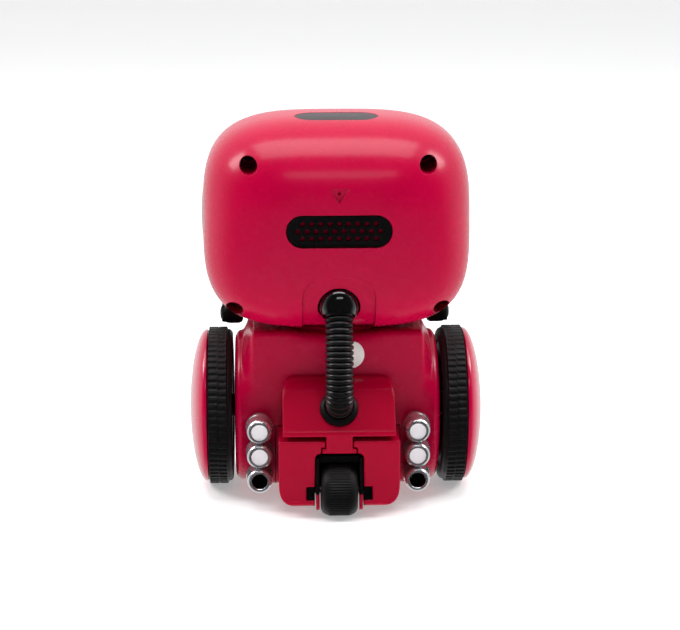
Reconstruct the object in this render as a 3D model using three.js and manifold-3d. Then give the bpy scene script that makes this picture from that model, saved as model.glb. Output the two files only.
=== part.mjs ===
import * as THREE from 'three';
import { mergeVertices } from 'three/addons/utils/BufferGeometryUtils.js';
import Module from 'manifold-3d';

const wasm = await Module();
wasm.setup();

// Palm-sized line follower robot. Millimetres, +Z up, +Y the way it drives.

const GAP = 0.3;
const FAR = 80;

// Facets round a full circle: wheels and pods, and small turned parts.
const ROUND = 24;
const SMALL_ROUND = 14;

// Height of the floor below the body's own zero. The finished robot stands on Z = 0.
const FLOOR_Z = 1.8;

// Drive wheels
const TYRE_RADIUS = 24.9;
const AXLE_Z = FLOOR_Z + TYRE_RADIUS;
const TYRE_INNER_X = 32.4;
const TYRE_OUTER_X = 39.9;
const TYRE_RIBS = 60;
const RIB_DEPTH = 0.7;
const HUB_RADIUS = 19.8;
const CAP_RADIUS = 24.1;
const CAP_TOP_X = 46;
const AXLE_RADIUS = 1.5;

// Torso
const BODY_WALL = 1.8;
const BODY_HALF_DEPTH = 22;
const BODY_BOTTOM = 5;
const BODY_TOP = 56.2;
const BODY_HALF_WIDTH = 27;
const NECK_HALF_WIDTH = 27.1;
const SHOULDER_HALF_WIDTH = 29.4;
const SHOULDER_Z = 49.8;
const POD_RADIUS = 23.9;
const POD_RIM_X = 29;
const POD_RIM_RADIUS = 21.6;
const POD_COVER_RADIUS = 20.3;
const POD_ROOT_RADIUS = 20.5;
const POD_ROOT_X = 20;
const POD_OUTER_X = 31.6;
const CHASSIS_HALF_WIDTH = 19.2;
const CHASSIS_TOP = 26.2;
const NECK_RING_RADIUS = 17.5;
const NECK_RING_TOP = 56.2;

// Rear pack
const PACK_BACK = -38;
const PACK_WALL = 1.6;
const UPPER_HALF_WIDTH = 16.5;
const UPPER_TOP = 42.4;
const UPPER_CREST_Y = -27;
const UPPER_BOTTOM = 27.5;
const LOWER_HALF_WIDTH = 18;
const LOWER_TOP = 26.1;
const LOWER_BOTTOM = 4.9;
const TAB_HALF_WIDTH = 4;
const TAB_FOOT_HALF_WIDTH = 5.2;
const TAB_BOTTOM = 22.2;
const TAB_FOOT_TOP = 23.7;
const WELL_HALF_WIDTH = 7.4;
const WELL_TOP = 22.2;
const WELL_FRONT = -24;

// Rear roller
const ROLLER_Y = -34.5;
const ROLLER_RADIUS = 8;
const ROLLER_Z = FLOOR_Z + ROLLER_RADIUS;
const ROLLER_HALF_WIDTH = 5.6;

// Arms
const ARM_PIVOT = [0, 6, 55.4];

// Exhaust pipes
const PIPE_X = 24.1;
const PIPE_TOP_Z = 27.1;
const PIPE_PITCH = 7.8;
const PIPE_END = -32;

// Gears
const GEAR_MODULE = 0.8;
const SMALL_TEETH = 8;
const LARGE_TEETH = 20;
const GEAR_DISTANCE = (GEAR_MODULE * (SMALL_TEETH + LARGE_TEETH)) / 2;
const IDLER_ANGLE = Math.PI / 2;
const MOTOR_ANGLE = (150 * Math.PI) / 180;
const FRAME_PLATE_X = 20.9;
const FRAME_PLATE_THICKNESS = 1.4;
const MOTOR_RADIUS = 5;

// Battery cells, AAA size
const CELL_RADIUS = 5.25;
const CELL_LENGTH = 44.5;
const CELL_PITCH = 11.2;
const CELL_Z = 12.3;

// Head
const HEAD_CENTRE = [0, -3, 88.5];
const HEAD_HALF = [40.9, 35, 32];
const HEAD_WALL = 2;
const HEAD_SEAM_Y = 4;
const UPPER_SCREW = [26.5, 108.6];
const LOWER_SCREW = [31.1, 64.7];
const SCREW_HOLE_RADIUS = 2.65;
const GRILLE_Z = 90.2;
const GRILLE_WIDTH = 30.6;
const GRILLE_HEIGHT = 9.1;
const EAR_Y = 10;
const EAR_Z = 87;
const EAR_RADIUS = 10.5;
const EAR_BASE_X = 35.7;
const EAR_TIP_X = 41.8;
const EYE_X = 13.5;
const EYE_Z = 90;

// Hose
const HOSE_RADIUS = 3.95;
const HOSE_ROOT_RADIUS = 3.25;
const HOSE_RINGS = 22;
const BALL_POSITION = [0, -33, 67.4];
const BALL_TILT = -0.2;
const SCOOP_DEPTH = 1.5;
const BALL_RADIUS = 5.9;

const materials = {
  red: { color: 0xc3103f, roughness: 0.32, metalness: 0 },
  deepRed: { color: 0xb00b38, roughness: 0.35, metalness: 0 },
  rubber: { color: 0x1a181b, roughness: 0.62, metalness: 0 },
  black: { color: 0x141314, roughness: 0.4, metalness: 0 },
  gloss: { color: 0x0b0b0d, roughness: 0.12, metalness: 0 },
  hose: { color: 0x222022, roughness: 0.42, metalness: 0 },
  chrome: { color: 0xe5e5e7, roughness: 0.12, metalness: 1 },
  steel: { color: 0x9a9a9c, roughness: 0.35, metalness: 1 },
  sticker: { color: 0xc4bfbc, roughness: 0.55, metalness: 0 },
  gear: { color: 0xe8e6df, roughness: 0.5, metalness: 0 },
  board: { color: 0x1d5c34, roughness: 0.45, metalness: 0 },
  cell: { color: 0x5b6b8c, roughness: 0.4, metalness: 0 },
  eye: { color: 0x8fd8f0, roughness: 0.3, metalness: 0 },
};

// The drive axle stands this far in front of the middle of the robot's length.
const AXLE_OFFSET_Y = 4.25;

const robot = new THREE.Group();
robot.name = 'line_follower_robot';
robot.position.set(0, AXLE_OFFSET_Y, -FLOOR_Z);

// ---------------------------------------------------------------- solids

function toSolid(geometry) {
  const bare = geometry.clone();
  bare.deleteAttribute('normal');
  bare.deleteAttribute('uv');
  const welded = mergeVertices(bare, 1e-4);
  const position = welded.attributes.position;
  const index = welded.index.array;
  const a = new THREE.Vector3();
  const b = new THREE.Vector3();
  const c = new THREE.Vector3();
  const triangles = [];
  let volume = 0;
  for (let i = 0; i < index.length; i += 3) {
    const [i0, i1, i2] = [index[i], index[i + 1], index[i + 2]];
    if (i0 === i1 || i1 === i2 || i2 === i0) continue;
    triangles.push([i0, i1, i2]);
    a.fromBufferAttribute(position, i0);
    b.fromBufferAttribute(position, i1);
    c.fromBufferAttribute(position, i2);
    volume += a.dot(b.cross(c));
  }
  const ordered = volume < 0 ? triangles.map(([p, q, r]) => [p, r, q]) : triangles;
  return new wasm.Manifold(new wasm.Mesh({
    numProp: 3,
    vertProperties: new Float32Array(position.array),
    triVerts: new Uint32Array(ordered.flat()),
  }));
}

function toGeometry(solid) {
  const mesh = solid.getMesh();
  const geometry = new THREE.BufferGeometry();
  const stride = mesh.numProp;
  const count = mesh.vertProperties.length / stride;
  const points = new Float32Array(count * 3);
  for (let i = 0; i < count; i += 1) {
    points.set(mesh.vertProperties.slice(i * stride, i * stride + 3), i * 3);
  }
  geometry.setAttribute('position', new THREE.BufferAttribute(points, 3));
  geometry.setIndex(Array.from(mesh.triVerts));
  const flat = geometry.toNonIndexed();
  flat.computeVertexNormals();
  return flat;
}

function addPart(name, solid, look, parent = robot) {
  const mesh = new THREE.Mesh(toGeometry(solid), new THREE.MeshStandardMaterial(materials[look]));
  mesh.name = name;
  parent.add(mesh);
  return mesh;
}

function join(...solids) {
  return solids.reduce((whole, piece) => whole.add(piece));
}

function cut(solid, ...tools) {
  return tools.reduce((rest, tool) => rest.subtract(tool), solid);
}

function block(x0, x1, y0, y1, z0, z1) {
  const geometry = new THREE.BoxGeometry(x1 - x0, y1 - y0, z1 - z0);
  geometry.translate((x0 + x1) / 2, (y0 + y1) / 2, (z0 + z1) / 2);
  return toSolid(geometry);
}

// A solid of revolution. The profile is a list of [radius, distance along the axis].
function turned(profile, axis, centre = [0, 0, 0], segments = 16) {
  const points = profile.map(([radius, along]) => new THREE.Vector2(radius, along));
  const geometry = new THREE.LatheGeometry([...points, points[0]], segments);
  if (axis === 'x') geometry.rotateZ(-Math.PI / 2);
  if (axis === 'z') geometry.rotateX(Math.PI / 2);
  geometry.translate(...centre);
  return toSolid(geometry);
}

function rod(axis, radius, from, to, centre = [0, 0, 0], segments = 12) {
  const [low, high] = [Math.min(from, to), Math.max(from, to)];
  return turned([[0, low], [radius, low], [radius, high], [0, high]], axis, centre, segments);
}

function extruded(shape, depth, curveSegments) {
  return new THREE.ExtrudeGeometry(shape, { depth, curveSegments, bevelEnabled: false });
}

// The shape's plane is YZ.
function prismX(shape, x0, x1, curveSegments = 4) {
  const [low, high] = [Math.min(x0, x1), Math.max(x0, x1)];
  const geometry = extruded(shape, high - low, curveSegments);
  const basis = new THREE.Matrix4().makeBasis(
    new THREE.Vector3(0, 1, 0),
    new THREE.Vector3(0, 0, 1),
    new THREE.Vector3(1, 0, 0),
  );
  geometry.applyMatrix4(basis);
  geometry.translate(low, 0, 0);
  return toSolid(geometry);
}

// The shape's plane is XZ.
function prismY(shape, y0, y1, curveSegments = 4) {
  const geometry = extruded(shape, y1 - y0, curveSegments);
  geometry.rotateX(Math.PI / 2);
  geometry.translate(0, y1, 0);
  return toSolid(geometry);
}

// The shape's plane is XY.
function prismZ(shape, z0, z1, curveSegments = 4) {
  const geometry = extruded(shape, z1 - z0, curveSegments);
  geometry.translate(0, 0, z0);
  return toSolid(geometry);
}

// A closed outline with each [x, y, radius] corner rounded.
function outline(corners) {
  const shape = new THREE.Shape();
  const count = corners.length;
  corners.forEach(([x, y, radius = 0], i) => {
    const here = new THREE.Vector2(x, y);
    const before = new THREE.Vector2(...corners[(i + count - 1) % count].slice(0, 2));
    const after = new THREE.Vector2(...corners[(i + 1) % count].slice(0, 2));
    const start = here.clone().add(before.sub(here).normalize().multiplyScalar(radius));
    const end = here.clone().add(after.sub(here).normalize().multiplyScalar(radius));
    if (i === 0) shape.moveTo(start.x, start.y);
    else shape.lineTo(start.x, start.y);
    if (radius > 0) shape.quadraticCurveTo(x, y, end.x, end.y);
  });
  shape.closePath();
  return shape;
}

function rectangle(x0, x1, y0, y1, radius = 0) {
  return outline([[x0, y0, radius], [x1, y0, radius], [x1, y1, radius], [x0, y1, radius]]);
}

function stadium(width, height, centreY) {
  const r = height / 2;
  const half = width / 2 - r;
  const shape = new THREE.Shape();
  shape.moveTo(-half, centreY - r);
  shape.lineTo(half, centreY - r);
  shape.absarc(half, centreY, r, -Math.PI / 2, Math.PI / 2, false);
  shape.lineTo(-half, centreY + r);
  shape.absarc(-half, centreY, r, Math.PI / 2, (3 * Math.PI) / 2, false);
  return shape;
}

// ---------------------------------------------------------------- drive wheels

function tyreOutline() {
  const shape = new THREE.Shape();
  const step = Math.PI / TYRE_RIBS;
  for (let i = 0; i < TYRE_RIBS * 2; i += 1) {
    const radius = i % 2 === 0 ? TYRE_RADIUS : TYRE_RADIUS - RIB_DEPTH;
    const angle = -Math.PI / 2 + i * step;
    const [y, z] = [radius * Math.cos(angle), radius * Math.sin(angle)];
    if (i === 0) shape.moveTo(y, z);
    else shape.lineTo(y, z);
  }
  shape.closePath();
  return shape;
}

function tyreSolid(side) {
  const shoulderX = TYRE_INNER_X + 1.6;
  const blank = prismX(tyreOutline(), side * shoulderX, side * TYRE_OUTER_X);
  const shoulder = turned(
    [
      [0, side * TYRE_INNER_X],
      [TYRE_RADIUS - 2.6, side * TYRE_INNER_X],
      [TYRE_RADIUS - 1.2, side * (TYRE_INNER_X + 0.6)],
      [TYRE_RADIUS - 1.2, side * (shoulderX + 0.2)],
      [0, side * (shoulderX + 0.2)],
    ],
    'x',
    [0, 0, 0],
    ROUND,
  );
  const bore = rod('x', HUB_RADIUS + GAP, side * (TYRE_INNER_X - 1), side * (TYRE_OUTER_X + 1),
    [0, 0, 0], ROUND);
  return cut(join(blank, shoulder), bore);
}

function hubSolid(side) {
  const profile = [
    [AXLE_RADIUS + 0.02, POD_OUTER_X + GAP],
    [3.7, POD_OUTER_X + GAP],
    [3.7, 37.2],
    [17, 37.2],
    [17, 33.2],
    [HUB_RADIUS, 33],
    [HUB_RADIUS, 39.7],
    [16, 39.7],
    [16, 38.6],
    [AXLE_RADIUS + 0.02, 38.6],
  ];
  return turned(profile.map(([r, x]) => [r, side * x]), 'x', [0, 0, 0], ROUND);
}

function capSolid(side) {
  const wall = 1.7;
  const rimX = TYRE_OUTER_X + GAP;
  const outer = [];
  const inner = [];
  const steps = 4;
  for (let i = 0; i <= steps; i += 1) {
    const t = (i / steps) * (Math.PI / 2);
    outer.push([CAP_RADIUS * Math.cos(t), rimX + 0.6 + (CAP_TOP_X - rimX - 0.6) * Math.sin(t)]);
    inner.unshift([
      (CAP_RADIUS - wall) * Math.cos(t),
      rimX + (CAP_TOP_X - rimX - wall) * Math.sin(t),
    ]);
  }
  outer[steps][0] = 0;
  inner[0][0] = 0;
  const profile = [[CAP_RADIUS, rimX], ...outer, ...inner];
  return turned(profile.map(([r, x]) => [r, side * x]), 'x', [0, 0, 0], ROUND);
}

function gearOutline(teeth, phase) {
  const pitch = (2 * Math.PI) / teeth;
  const radius = (GEAR_MODULE * teeth) / 2;
  const tip = radius + 0.7;
  const root = radius - 1;
  const shape = new THREE.Shape();
  for (let i = 0; i < teeth; i += 1) {
    const middle = phase + i * pitch;
    const flank = [[root, -0.22], [tip, -0.09], [tip, 0.09], [root, 0.22]];
    flank.forEach(([r, offset], j) => {
      const angle = middle + offset * pitch;
      const point = [r * Math.cos(angle), r * Math.sin(angle)];
      if (i === 0 && j === 0) shape.moveTo(...point);
      else shape.lineTo(...point);
    });
  }
  shape.closePath();
  return shape;
}

function gearSolid(teeth, phase, x0, x1) {
  return prismX(gearOutline(teeth, phase), x0, x1);
}

function meshPhase(teeth, towards) {
  return towards + Math.PI + Math.PI / teeth;
}

const IDLER_CENTRE = [
  0,
  GEAR_DISTANCE * Math.cos(IDLER_ANGLE),
  AXLE_Z + GEAR_DISTANCE * Math.sin(IDLER_ANGLE),
];
const MOTOR_CENTRE = [
  0,
  IDLER_CENTRE[1] + GEAR_DISTANCE * Math.cos(MOTOR_ANGLE),
  IDLER_CENTRE[2] + GEAR_DISTANCE * Math.sin(MOTOR_ANGLE),
];

function groupAt(position) {
  const group = new THREE.Group();
  group.position.set(...position);
  robot.add(group);
  return group;
}

function addWheel(side, label) {
  const wheel = groupAt([0, 0, AXLE_Z]);
  addPart(`tyre_${label}`, tyreSolid(side), 'rubber', wheel);
  addPart(`wheel_hub_${label}`, hubSolid(side), 'black', wheel);
  addPart(`dome_cap_${label}`, capSolid(side), 'red', wheel);
  addPart(`axle_${label}`, rod('x', AXLE_RADIUS, side * 2, side * 38.4), 'steel', wheel);
  const output = cut(
    gearSolid(LARGE_TEETH, IDLER_ANGLE, side * 22.8, side * 24.4),
    rod('x', AXLE_RADIUS + 0.02, side * 22, side * 25),
  );
  addPart(`output_gear_${label}`, output, 'gear', wheel);
}

function addIdler(side, label) {
  const idler = groupAt(IDLER_CENTRE);
  const small = gearSolid(SMALL_TEETH, meshPhase(SMALL_TEETH, IDLER_ANGLE), side * 22.8, side * 25);
  const large = gearSolid(LARGE_TEETH, MOTOR_ANGLE, side * 24.9, side * 26.4);
  const bore = rod('x', 1.05, side * 22, side * 28, [0, 0, 0], 12);
  addPart(`compound_gear_${label}`, cut(join(small, large), bore), 'gear', idler);
}

function addPinion(side, label) {
  const pinion = groupAt(MOTOR_CENTRE);
  const teeth = gearSolid(SMALL_TEETH, meshPhase(SMALL_TEETH, MOTOR_ANGLE), side * 24.8, side * 26.5);
  const shaft = rod('x', 0.8, side * 18.9, side * 26.5, [0, 0, 0], 12);
  addPart(`motor_pinion_${label}`, join(teeth, shaft), 'steel', pinion);
}

// ---------------------------------------------------------------- torso

function torsoProfile(grow) {
  const depth = BODY_HALF_DEPTH + grow;
  const bottom = BODY_BOTTOM - grow;
  const top = BODY_TOP + grow;
  return outline([
    [-depth, top, 3],
    [-depth, 24, 5],
    [-20.6 - grow, 13, 4],
    [-15.5 - grow, bottom, 2.5],
    [15.5 + grow, bottom, 2.5],
    [20.6 + grow, 13, 4],
    [depth, 24, 5],
    [depth, top, 3],
  ]);
}

function podSolid(side, grow) {
  const span = POD_RIM_X - POD_ROOT_X;
  const profile = [[0, side * POD_ROOT_X]];
  for (let i = 0; i <= 3; i += 1) {
    const t = i / 3;
    const radius = POD_ROOT_RADIUS + (POD_RADIUS - POD_ROOT_RADIUS) * t ** 2;
    profile.push([radius + grow, side * (POD_ROOT_X + span * t)]);
  }
  profile.push([POD_RADIUS - 0.7 + grow, side * (POD_OUTER_X - 1)]);
  profile.push([POD_RIM_RADIUS + grow, side * POD_OUTER_X]);
  profile.push([0, side * POD_OUTER_X]);
  return turned(profile, 'x', [0, 0, AXLE_Z], ROUND);
}

function bodySolid(grow) {
  const prism = prismX(torsoProfile(grow), -SHOULDER_HALF_WIDTH, SHOULDER_HALF_WIDTH);
  const shoulder = SHOULDER_HALF_WIDTH + grow;
  const neck = NECK_HALF_WIDTH + grow;
  const waist = BODY_HALF_WIDTH + grow;
  const front = prismY(outline([
    [-waist, 0],
    [waist, 0],
    [waist, 43],
    [shoulder, 47, 1],
    [shoulder, SHOULDER_Z, 1],
    [neck, BODY_TOP + grow],
    [-neck, BODY_TOP + grow],
    [-shoulder, SHOULDER_Z, 1],
    [-shoulder, 47, 1],
    [-waist, 43],
  ]), -FAR, FAR, 2);
  const depth = BODY_HALF_DEPTH + grow;
  const plan = prismZ(rectangle(-shoulder, shoulder, -depth, depth, 9), 0, FAR, 5);
  const torso = prism.intersect(front).intersect(plan);
  return join(torso, podSolid(-1, grow), podSolid(1, grow));
}

function chassisRegion(grow) {
  const half = CHASSIS_HALF_WIDTH + grow;
  return join(
    block(-half, half, -FAR, -11, 0, CHASSIS_TOP + grow),
    block(-24.4 - grow, 24.4 + grow, -15 - grow, 15 + grow, 0, 7.6 + grow),
  );
}

function pipePocket(side) {
  const holes = [];
  for (let i = 0; i < 3; i += 1) {
    holes.push(rod('y', 3.9, -FAR, -16.5, [side * PIPE_X, 0, PIPE_TOP_Z - i * PIPE_PITCH], 10));
  }
  return join(...holes);
}

function shoulderBoss(side) {
  return rod('x', 2.4, side * 22.5, side * 28.5, ARM_PIVOT, 14);
}

function bodyShells() {
  const outer = bodySolid(0);
  const openEnds = join(
    rod('x', POD_COVER_RADIUS + GAP, -29.4, -33, [0, 0, AXLE_Z], ROUND),
    rod('x', POD_COVER_RADIUS + GAP, 29.4, 33, [0, 0, AXLE_Z], ROUND),
  );
  const throughPods = rod('x', POD_ROOT_RADIUS - BODY_WALL, -30, 30, [0, 0, AXLE_Z], ROUND);
  const pinionPockets = rod('x', 4.3, -26.75, 26.75, MOTOR_CENTRE, 16);
  const hollow = join(bodySolid(-BODY_WALL), openEnds, throughPods, pinionPockets);
  const bosses = join(shoulderBoss(-1), shoulderBoss(1));
  const neckHole = rod('z', NECK_RING_RADIUS + GAP, 52, 60, [0, 0, 0], ROUND);
  const armHoles = rod('x', 1.5, -FAR, FAR, ARM_PIVOT, 16);
  const wall = cut(join(cut(outer, hollow), bosses), neckHole, armHoles);
  const seam = GAP / 2;
  const shells = cut(wall, chassisRegion(GAP), pipePocket(-1), pipePocket(1));
  const cleared = cut(shells, rod('z', NECK_RING_RADIUS + GAP, 50, 60, [0, 0, 0], ROUND));
  addPart('body_rear_shell', cleared.intersect(block(-FAR, FAR, -FAR, -seam, 0, FAR)), 'red');
  addPart('body_front_shell', cleared.intersect(block(-FAR, FAR, seam, FAR, 0, FAR)), 'red');
  const doorHole = block(-23.2, 23.2, -12.8, 12.8, 0, 9);
  addPart('chassis_base', cut(cut(outer, hollow).intersect(chassisRegion(0)), doorHole), 'deepRed');
}

function podCover(side) {
  const axis = [0, 0, AXLE_Z];
  const disc = rod('x', POD_COVER_RADIUS, side * 29.9, side * POD_OUTER_X, axis, ROUND);
  const recess = rod('x', 15, side * (POD_OUTER_X - 0.5), side * 34, axis, ROUND);
  const bore = rod('x', AXLE_RADIUS + 0.1, side * 29, side * 34, axis, 24);
  return cut(disc, recess, bore);
}

function batteryDoor() {
  const plate = block(-22.9, 22.9, -12.5, 12.5, BODY_BOTTOM, 6.4);
  const grip = block(-6, 6, -11.4, -10.2, BODY_BOTTOM - 1, 5.7);
  const ribs = [-9, -7.8].map((y) => block(-6, 6, y, y + 0.6, BODY_BOTTOM - 1, 5.5));
  return cut(plate, grip, ...ribs);
}

function batteryCell(y) {
  const half = CELL_LENGTH / 2;
  return turned(
    [[0, -half], [4.6, -half], [CELL_RADIUS, -half + 0.5], [CELL_RADIUS, half - 1.4],
      [1.9, half - 1.4], [1.9, half], [0, half]],
    'x',
    [0, y, CELL_Z],
    SMALL_ROUND,
  );
}

function gearboxFrame() {
  const plateShape = outline([
    [-6, 18.6, 1.5],
    [6, 18.6, 1.5],
    [6, 43.2, 3],
    [-6, 50.2, 3],
    [-15, 47.7, 3],
    [-15, 37.2, 3],
    [-6, 30, 2],
  ]);
  const inner = FRAME_PLATE_X;
  const outer = FRAME_PLATE_X + FRAME_PLATE_THICKNESS;
  const plates = [-1, 1].map((side) => prismX(plateShape, side * inner, side * outer));
  const pins = [-1, 1].map((side) => rod('x', 0.9, side * (outer - 0.3), side * 26.8, IDLER_CENTRE, 12));
  const bridge = block(-outer, outer, -6, 6, 18.6, 20.4);
  const shaftHole = rod('x', 1.3, -FAR, FAR, MOTOR_CENTRE, 16);
  const axleHole = rod('x', AXLE_RADIUS + 0.1, -FAR, FAR, [0, 0, AXLE_Z], 24);
  const body = cut(join(bridge, ...plates), shaftHole, axleHole);
  const saddle = cut(
    block(-1.5, 1.5, -14, -5, 20, 39.7),
    block(-2, 2, -12.4, -6.6, 22, 35),
  );
  const support = join(block(-1.5, 1.5, -14, 6, 18.6, 20.4), saddle);
  const cradle = rod('x', MOTOR_RADIUS + GAP, -5, 5, MOTOR_CENTRE, 32);
  return join(body, cut(support, cradle), ...pins);
}

function motorSolid(side) {
  const [, y, z] = MOTOR_CENTRE;
  const can = rod('x', MOTOR_RADIUS, side * 2, side * 18.6, [0, y, z], ROUND);
  const boss = rod('x', 2, side * 18.4, side * 19.8, [0, y, z], 12);
  const shaftHole = rod('x', 1, side * 18.2, side * 22, [0, y, z], 12);
  return cut(join(can, boss), shaftHole);
}

function neckRing() {
  const top = NECK_RING_TOP;
  return turned(
    [[5.6, 50.4], [14.6, 50.4], [14.6, 53.4], [NECK_RING_RADIUS, 53.4], [NECK_RING_RADIUS, top],
      [8, top], [8, top - 0.5], [5.6, top - 0.5]],
    'z',
    [0, 0, 0],
    ROUND,
  );
}

function mainBoard() {
  const board = block(-19, 19, 13, 14.2, 24, 48);
  const chips = [[-12, -4, 28, 36], [3, 12, 26, 31], [-8, 8, 40, 44]]
    .map(([x0, x1, z0, z1]) => block(x0, x1, 11.4, 13.1, z0, z1));
  return join(board, ...chips);
}

function sensorModule() {
  const bar = prismX(outline([
    [14.8, 3, 0.6],
    [20.4, 3, 0.8],
    [22.6, 7, 0.8],
    [22.6, 11.5, 0.8],
    [17, 11.5],
    [14.8, 6],
  ]), -12, 12, 3);
  const wells = [-5, 5].map((x) => rod('z', 2.2, 2, 4.2, [x, 17.8, 0], 16));
  const eyes = [-5, 5].map((x) => rod('z', 1.3, 3.1, 4.6, [x, 17.8, 0], 12));
  return join(cut(bar, bodySolid(GAP), ...wells), ...eyes);
}

function chestPanel() {
  const y = BODY_HALF_DEPTH + 0.1;
  return cut(
    prismY(rectangle(-12, 12, 27, 47, 3), y, y + 1.3),
    prismY(rectangle(-10, 10, 29, 45, 2), y + 0.9, y + 2),
  );
}

// ---------------------------------------------------------------- rear pack

function packUpper() {
  const profile = outline([
    [-18, UPPER_BOTTOM],
    [-18, UPPER_TOP],
    [UPPER_CREST_Y, UPPER_TOP, 4.5],
    [PACK_BACK, 28.6, 0.8],
    [PACK_BACK, UPPER_BOTTOM],
  ]);
  const half = UPPER_HALF_WIDTH;
  const rear = prismY(outline([
    [-half, UPPER_BOTTOM],
    [half, UPPER_BOTTOM],
    [half, UPPER_TOP, 3],
    [-half, UPPER_TOP, 3],
  ]), -FAR, 0);
  const solid = prismX(profile, -half, half).intersect(rear);
  const hollow = prismX(outline([
    [-17, UPPER_BOTTOM - 1],
    [-17, UPPER_TOP - PACK_WALL],
    [UPPER_CREST_Y + 0.6, UPPER_TOP - PACK_WALL, 3],
    [PACK_BACK + PACK_WALL, 28.4],
    [PACK_BACK + PACK_WALL, UPPER_BOTTOM - 1],
  ]), -half + PACK_WALL, half - PACK_WALL);
  const tab = join(
    block(-TAB_HALF_WIDTH, TAB_HALF_WIDTH, PACK_BACK, PACK_BACK + 2.4, TAB_BOTTOM, 28.4),
    block(-TAB_FOOT_HALF_WIDTH, TAB_FOOT_HALF_WIDTH, PACK_BACK, PACK_BACK + 2.4,
      TAB_BOTTOM, TAB_FOOT_TOP),
  );
  return cut(join(cut(solid, hollow), tab), bodySolid(GAP), collarPocket());
}

function packLower() {
  const half = LOWER_HALF_WIDTH;
  const profile = outline([
    [-12, LOWER_BOTTOM],
    [-12, LOWER_TOP],
    [PACK_BACK, LOWER_TOP, 0.6],
    [PACK_BACK, LOWER_BOTTOM, 3],
  ]);
  const rear = prismY(outline([
    [-half, LOWER_TOP],
    [-half, LOWER_BOTTOM, 4.5],
    [half, LOWER_BOTTOM, 4.5],
    [half, LOWER_TOP],
  ]), -FAR, 0);
  const solid = prismX(profile, -half, half).intersect(rear);
  const rooms = [-1, 1].map((side) => prismY(rectangle(
    Math.min(side * 9, side * (half - PACK_WALL)),
    Math.max(side * 9, side * (half - PACK_WALL)),
    LOWER_BOTTOM + PACK_WALL,
    LOWER_TOP - PACK_WALL,
    1.5,
  ), PACK_BACK + PACK_WALL, -10, 2));
  const well = prismY(outline([
    [-WELL_HALF_WIDTH, 0],
    [WELL_HALF_WIDTH, 0],
    [WELL_HALF_WIDTH, WELL_TOP, 2],
    [-WELL_HALF_WIDTH, WELL_TOP, 2],
  ]), -FAR, WELL_FRONT);
  const tabSlot = join(
    block(-TAB_HALF_WIDTH - GAP, TAB_HALF_WIDTH + GAP, -FAR, PACK_BACK + 2.7, TAB_BOTTOM - 1, 30),
    block(-TAB_FOOT_HALF_WIDTH - GAP, TAB_FOOT_HALF_WIDTH + GAP, -FAR, PACK_BACK + 2.7,
      TAB_BOTTOM - 1, TAB_FOOT_TOP + GAP),
  );
  const notches = [-1, 1].map((side) => block(
    Math.min(side * 7, side * 10), Math.max(side * 7, side * 10), -FAR, PACK_BACK + 1.5, 7.4, 11.7));
  const switchSlot = block(11.4, 14.6, -31, -23.4, 0, 9);
  return cut(solid, ...rooms, well, tabSlot, ...notches, switchSlot, bodySolid(GAP));
}

function collarPocket() {
  const tilt = rod('y', 3.6, -6, 6, [0, 0, 0], 24);
  return tilted(tilt, COLLAR_CENTRE);
}

// Height and tilt of the sloped pack face that carries the hose collar.
const COLLAR_CENTRE = [0, -33.1, 34.7];
const FACE_TILT = Math.atan2(UPPER_TOP - 28.6, UPPER_CREST_Y - PACK_BACK) - Math.PI / 2;

function tilted(solid, position) {
  const geometry = toGeometry(solid);
  geometry.rotateX(FACE_TILT);
  geometry.translate(...position);
  return toSolid(geometry);
}

function collarSolid() {
  const profile = [
    [4.15, -2.6],
    [4.7, -2.6],
    [5.8, -1.5],
    [5.8, -GAP],
    [3.3, -GAP],
    [3.3, 2.4],
    [2.6, 2.4],
    [2.6, -0.9],
    [4.15, -0.9],
  ];
  return tilted(turned(profile, 'y', [0, 0, 0], SMALL_ROUND), COLLAR_CENTRE);
}

function carrierSolid() {
  const cheek = outline([
    [-38.6, 3.8, 3],
    [-30, 3.8, 3],
    [-26, 12, 2],
    [-26, 20.6],
    [-37, 20.6, 1],
    [-38.6, 14, 1],
  ]);
  const cheeks = [-1, 1].map((side) => prismX(cheek, side * 6, side * 7.1));
  const bridge = block(-7.1, 7.1, -35, -26, 18.4, 20.6);
  const axleHole = rod('x', 1.25, -FAR, FAR, [0, ROLLER_Y, ROLLER_Z], 16);
  return cut(join(bridge, ...cheeks), axleHole);
}

function rollerSolid() {
  const half = ROLLER_HALF_WIDTH;
  const profile = [
    [1.35, -half],
    [5.6, -half],
    [7.2, -half + 0.7],
    [ROLLER_RADIUS, -half + 2.4],
    [ROLLER_RADIUS, half - 2.4],
    [7.2, half - 0.7],
    [5.6, half],
    [1.35, half],
  ];
  return turned(profile, 'x', [0, 0, 0], ROUND);
}

function pipeCluster(side) {
  const end = PIPE_END;
  const closed = [
    [0, -16.8], [3.6, -16.8], [3.6, -24.6], [4.2, -25], [4.2, -26], [3.8, -26.6], [3.8, end + 0.9],
    [3, end], [2.5, end], [2.5, end + 0.4], [0, end + 0.4],
  ];
  const open = [
    ...closed.slice(0, 8), [2.4, end], [2.4, end + 7], [0, end + 7],
  ];
  const pipes = [closed, closed, open].map((profile, i) => turned(
    profile, 'y', [side * PIPE_X, 0, PIPE_TOP_Z - i * PIPE_PITCH], 12));
  return join(...pipes);
}

function switchKnob() {
  return join(
    block(12, 14, -29.6, -27, 4.6, 8),
    block(10.7, 15.3, -30.4, -26.2, 7.5, 9),
  );
}

// ---------------------------------------------------------------- hose

function hosePath() {
  return new THREE.CatmullRomCurve3([
    new THREE.Vector3(0, -34.2, 61.6),
    new THREE.Vector3(0, -35.8, 54.6),
    new THREE.Vector3(0, -37.6, 47.4),
    new THREE.Vector3(0, -38.6, 41.6),
    new THREE.Vector3(0, -37.5, 37.9),
    new THREE.Vector3(0, -34.15, 35.4),
  ]);
}

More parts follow.
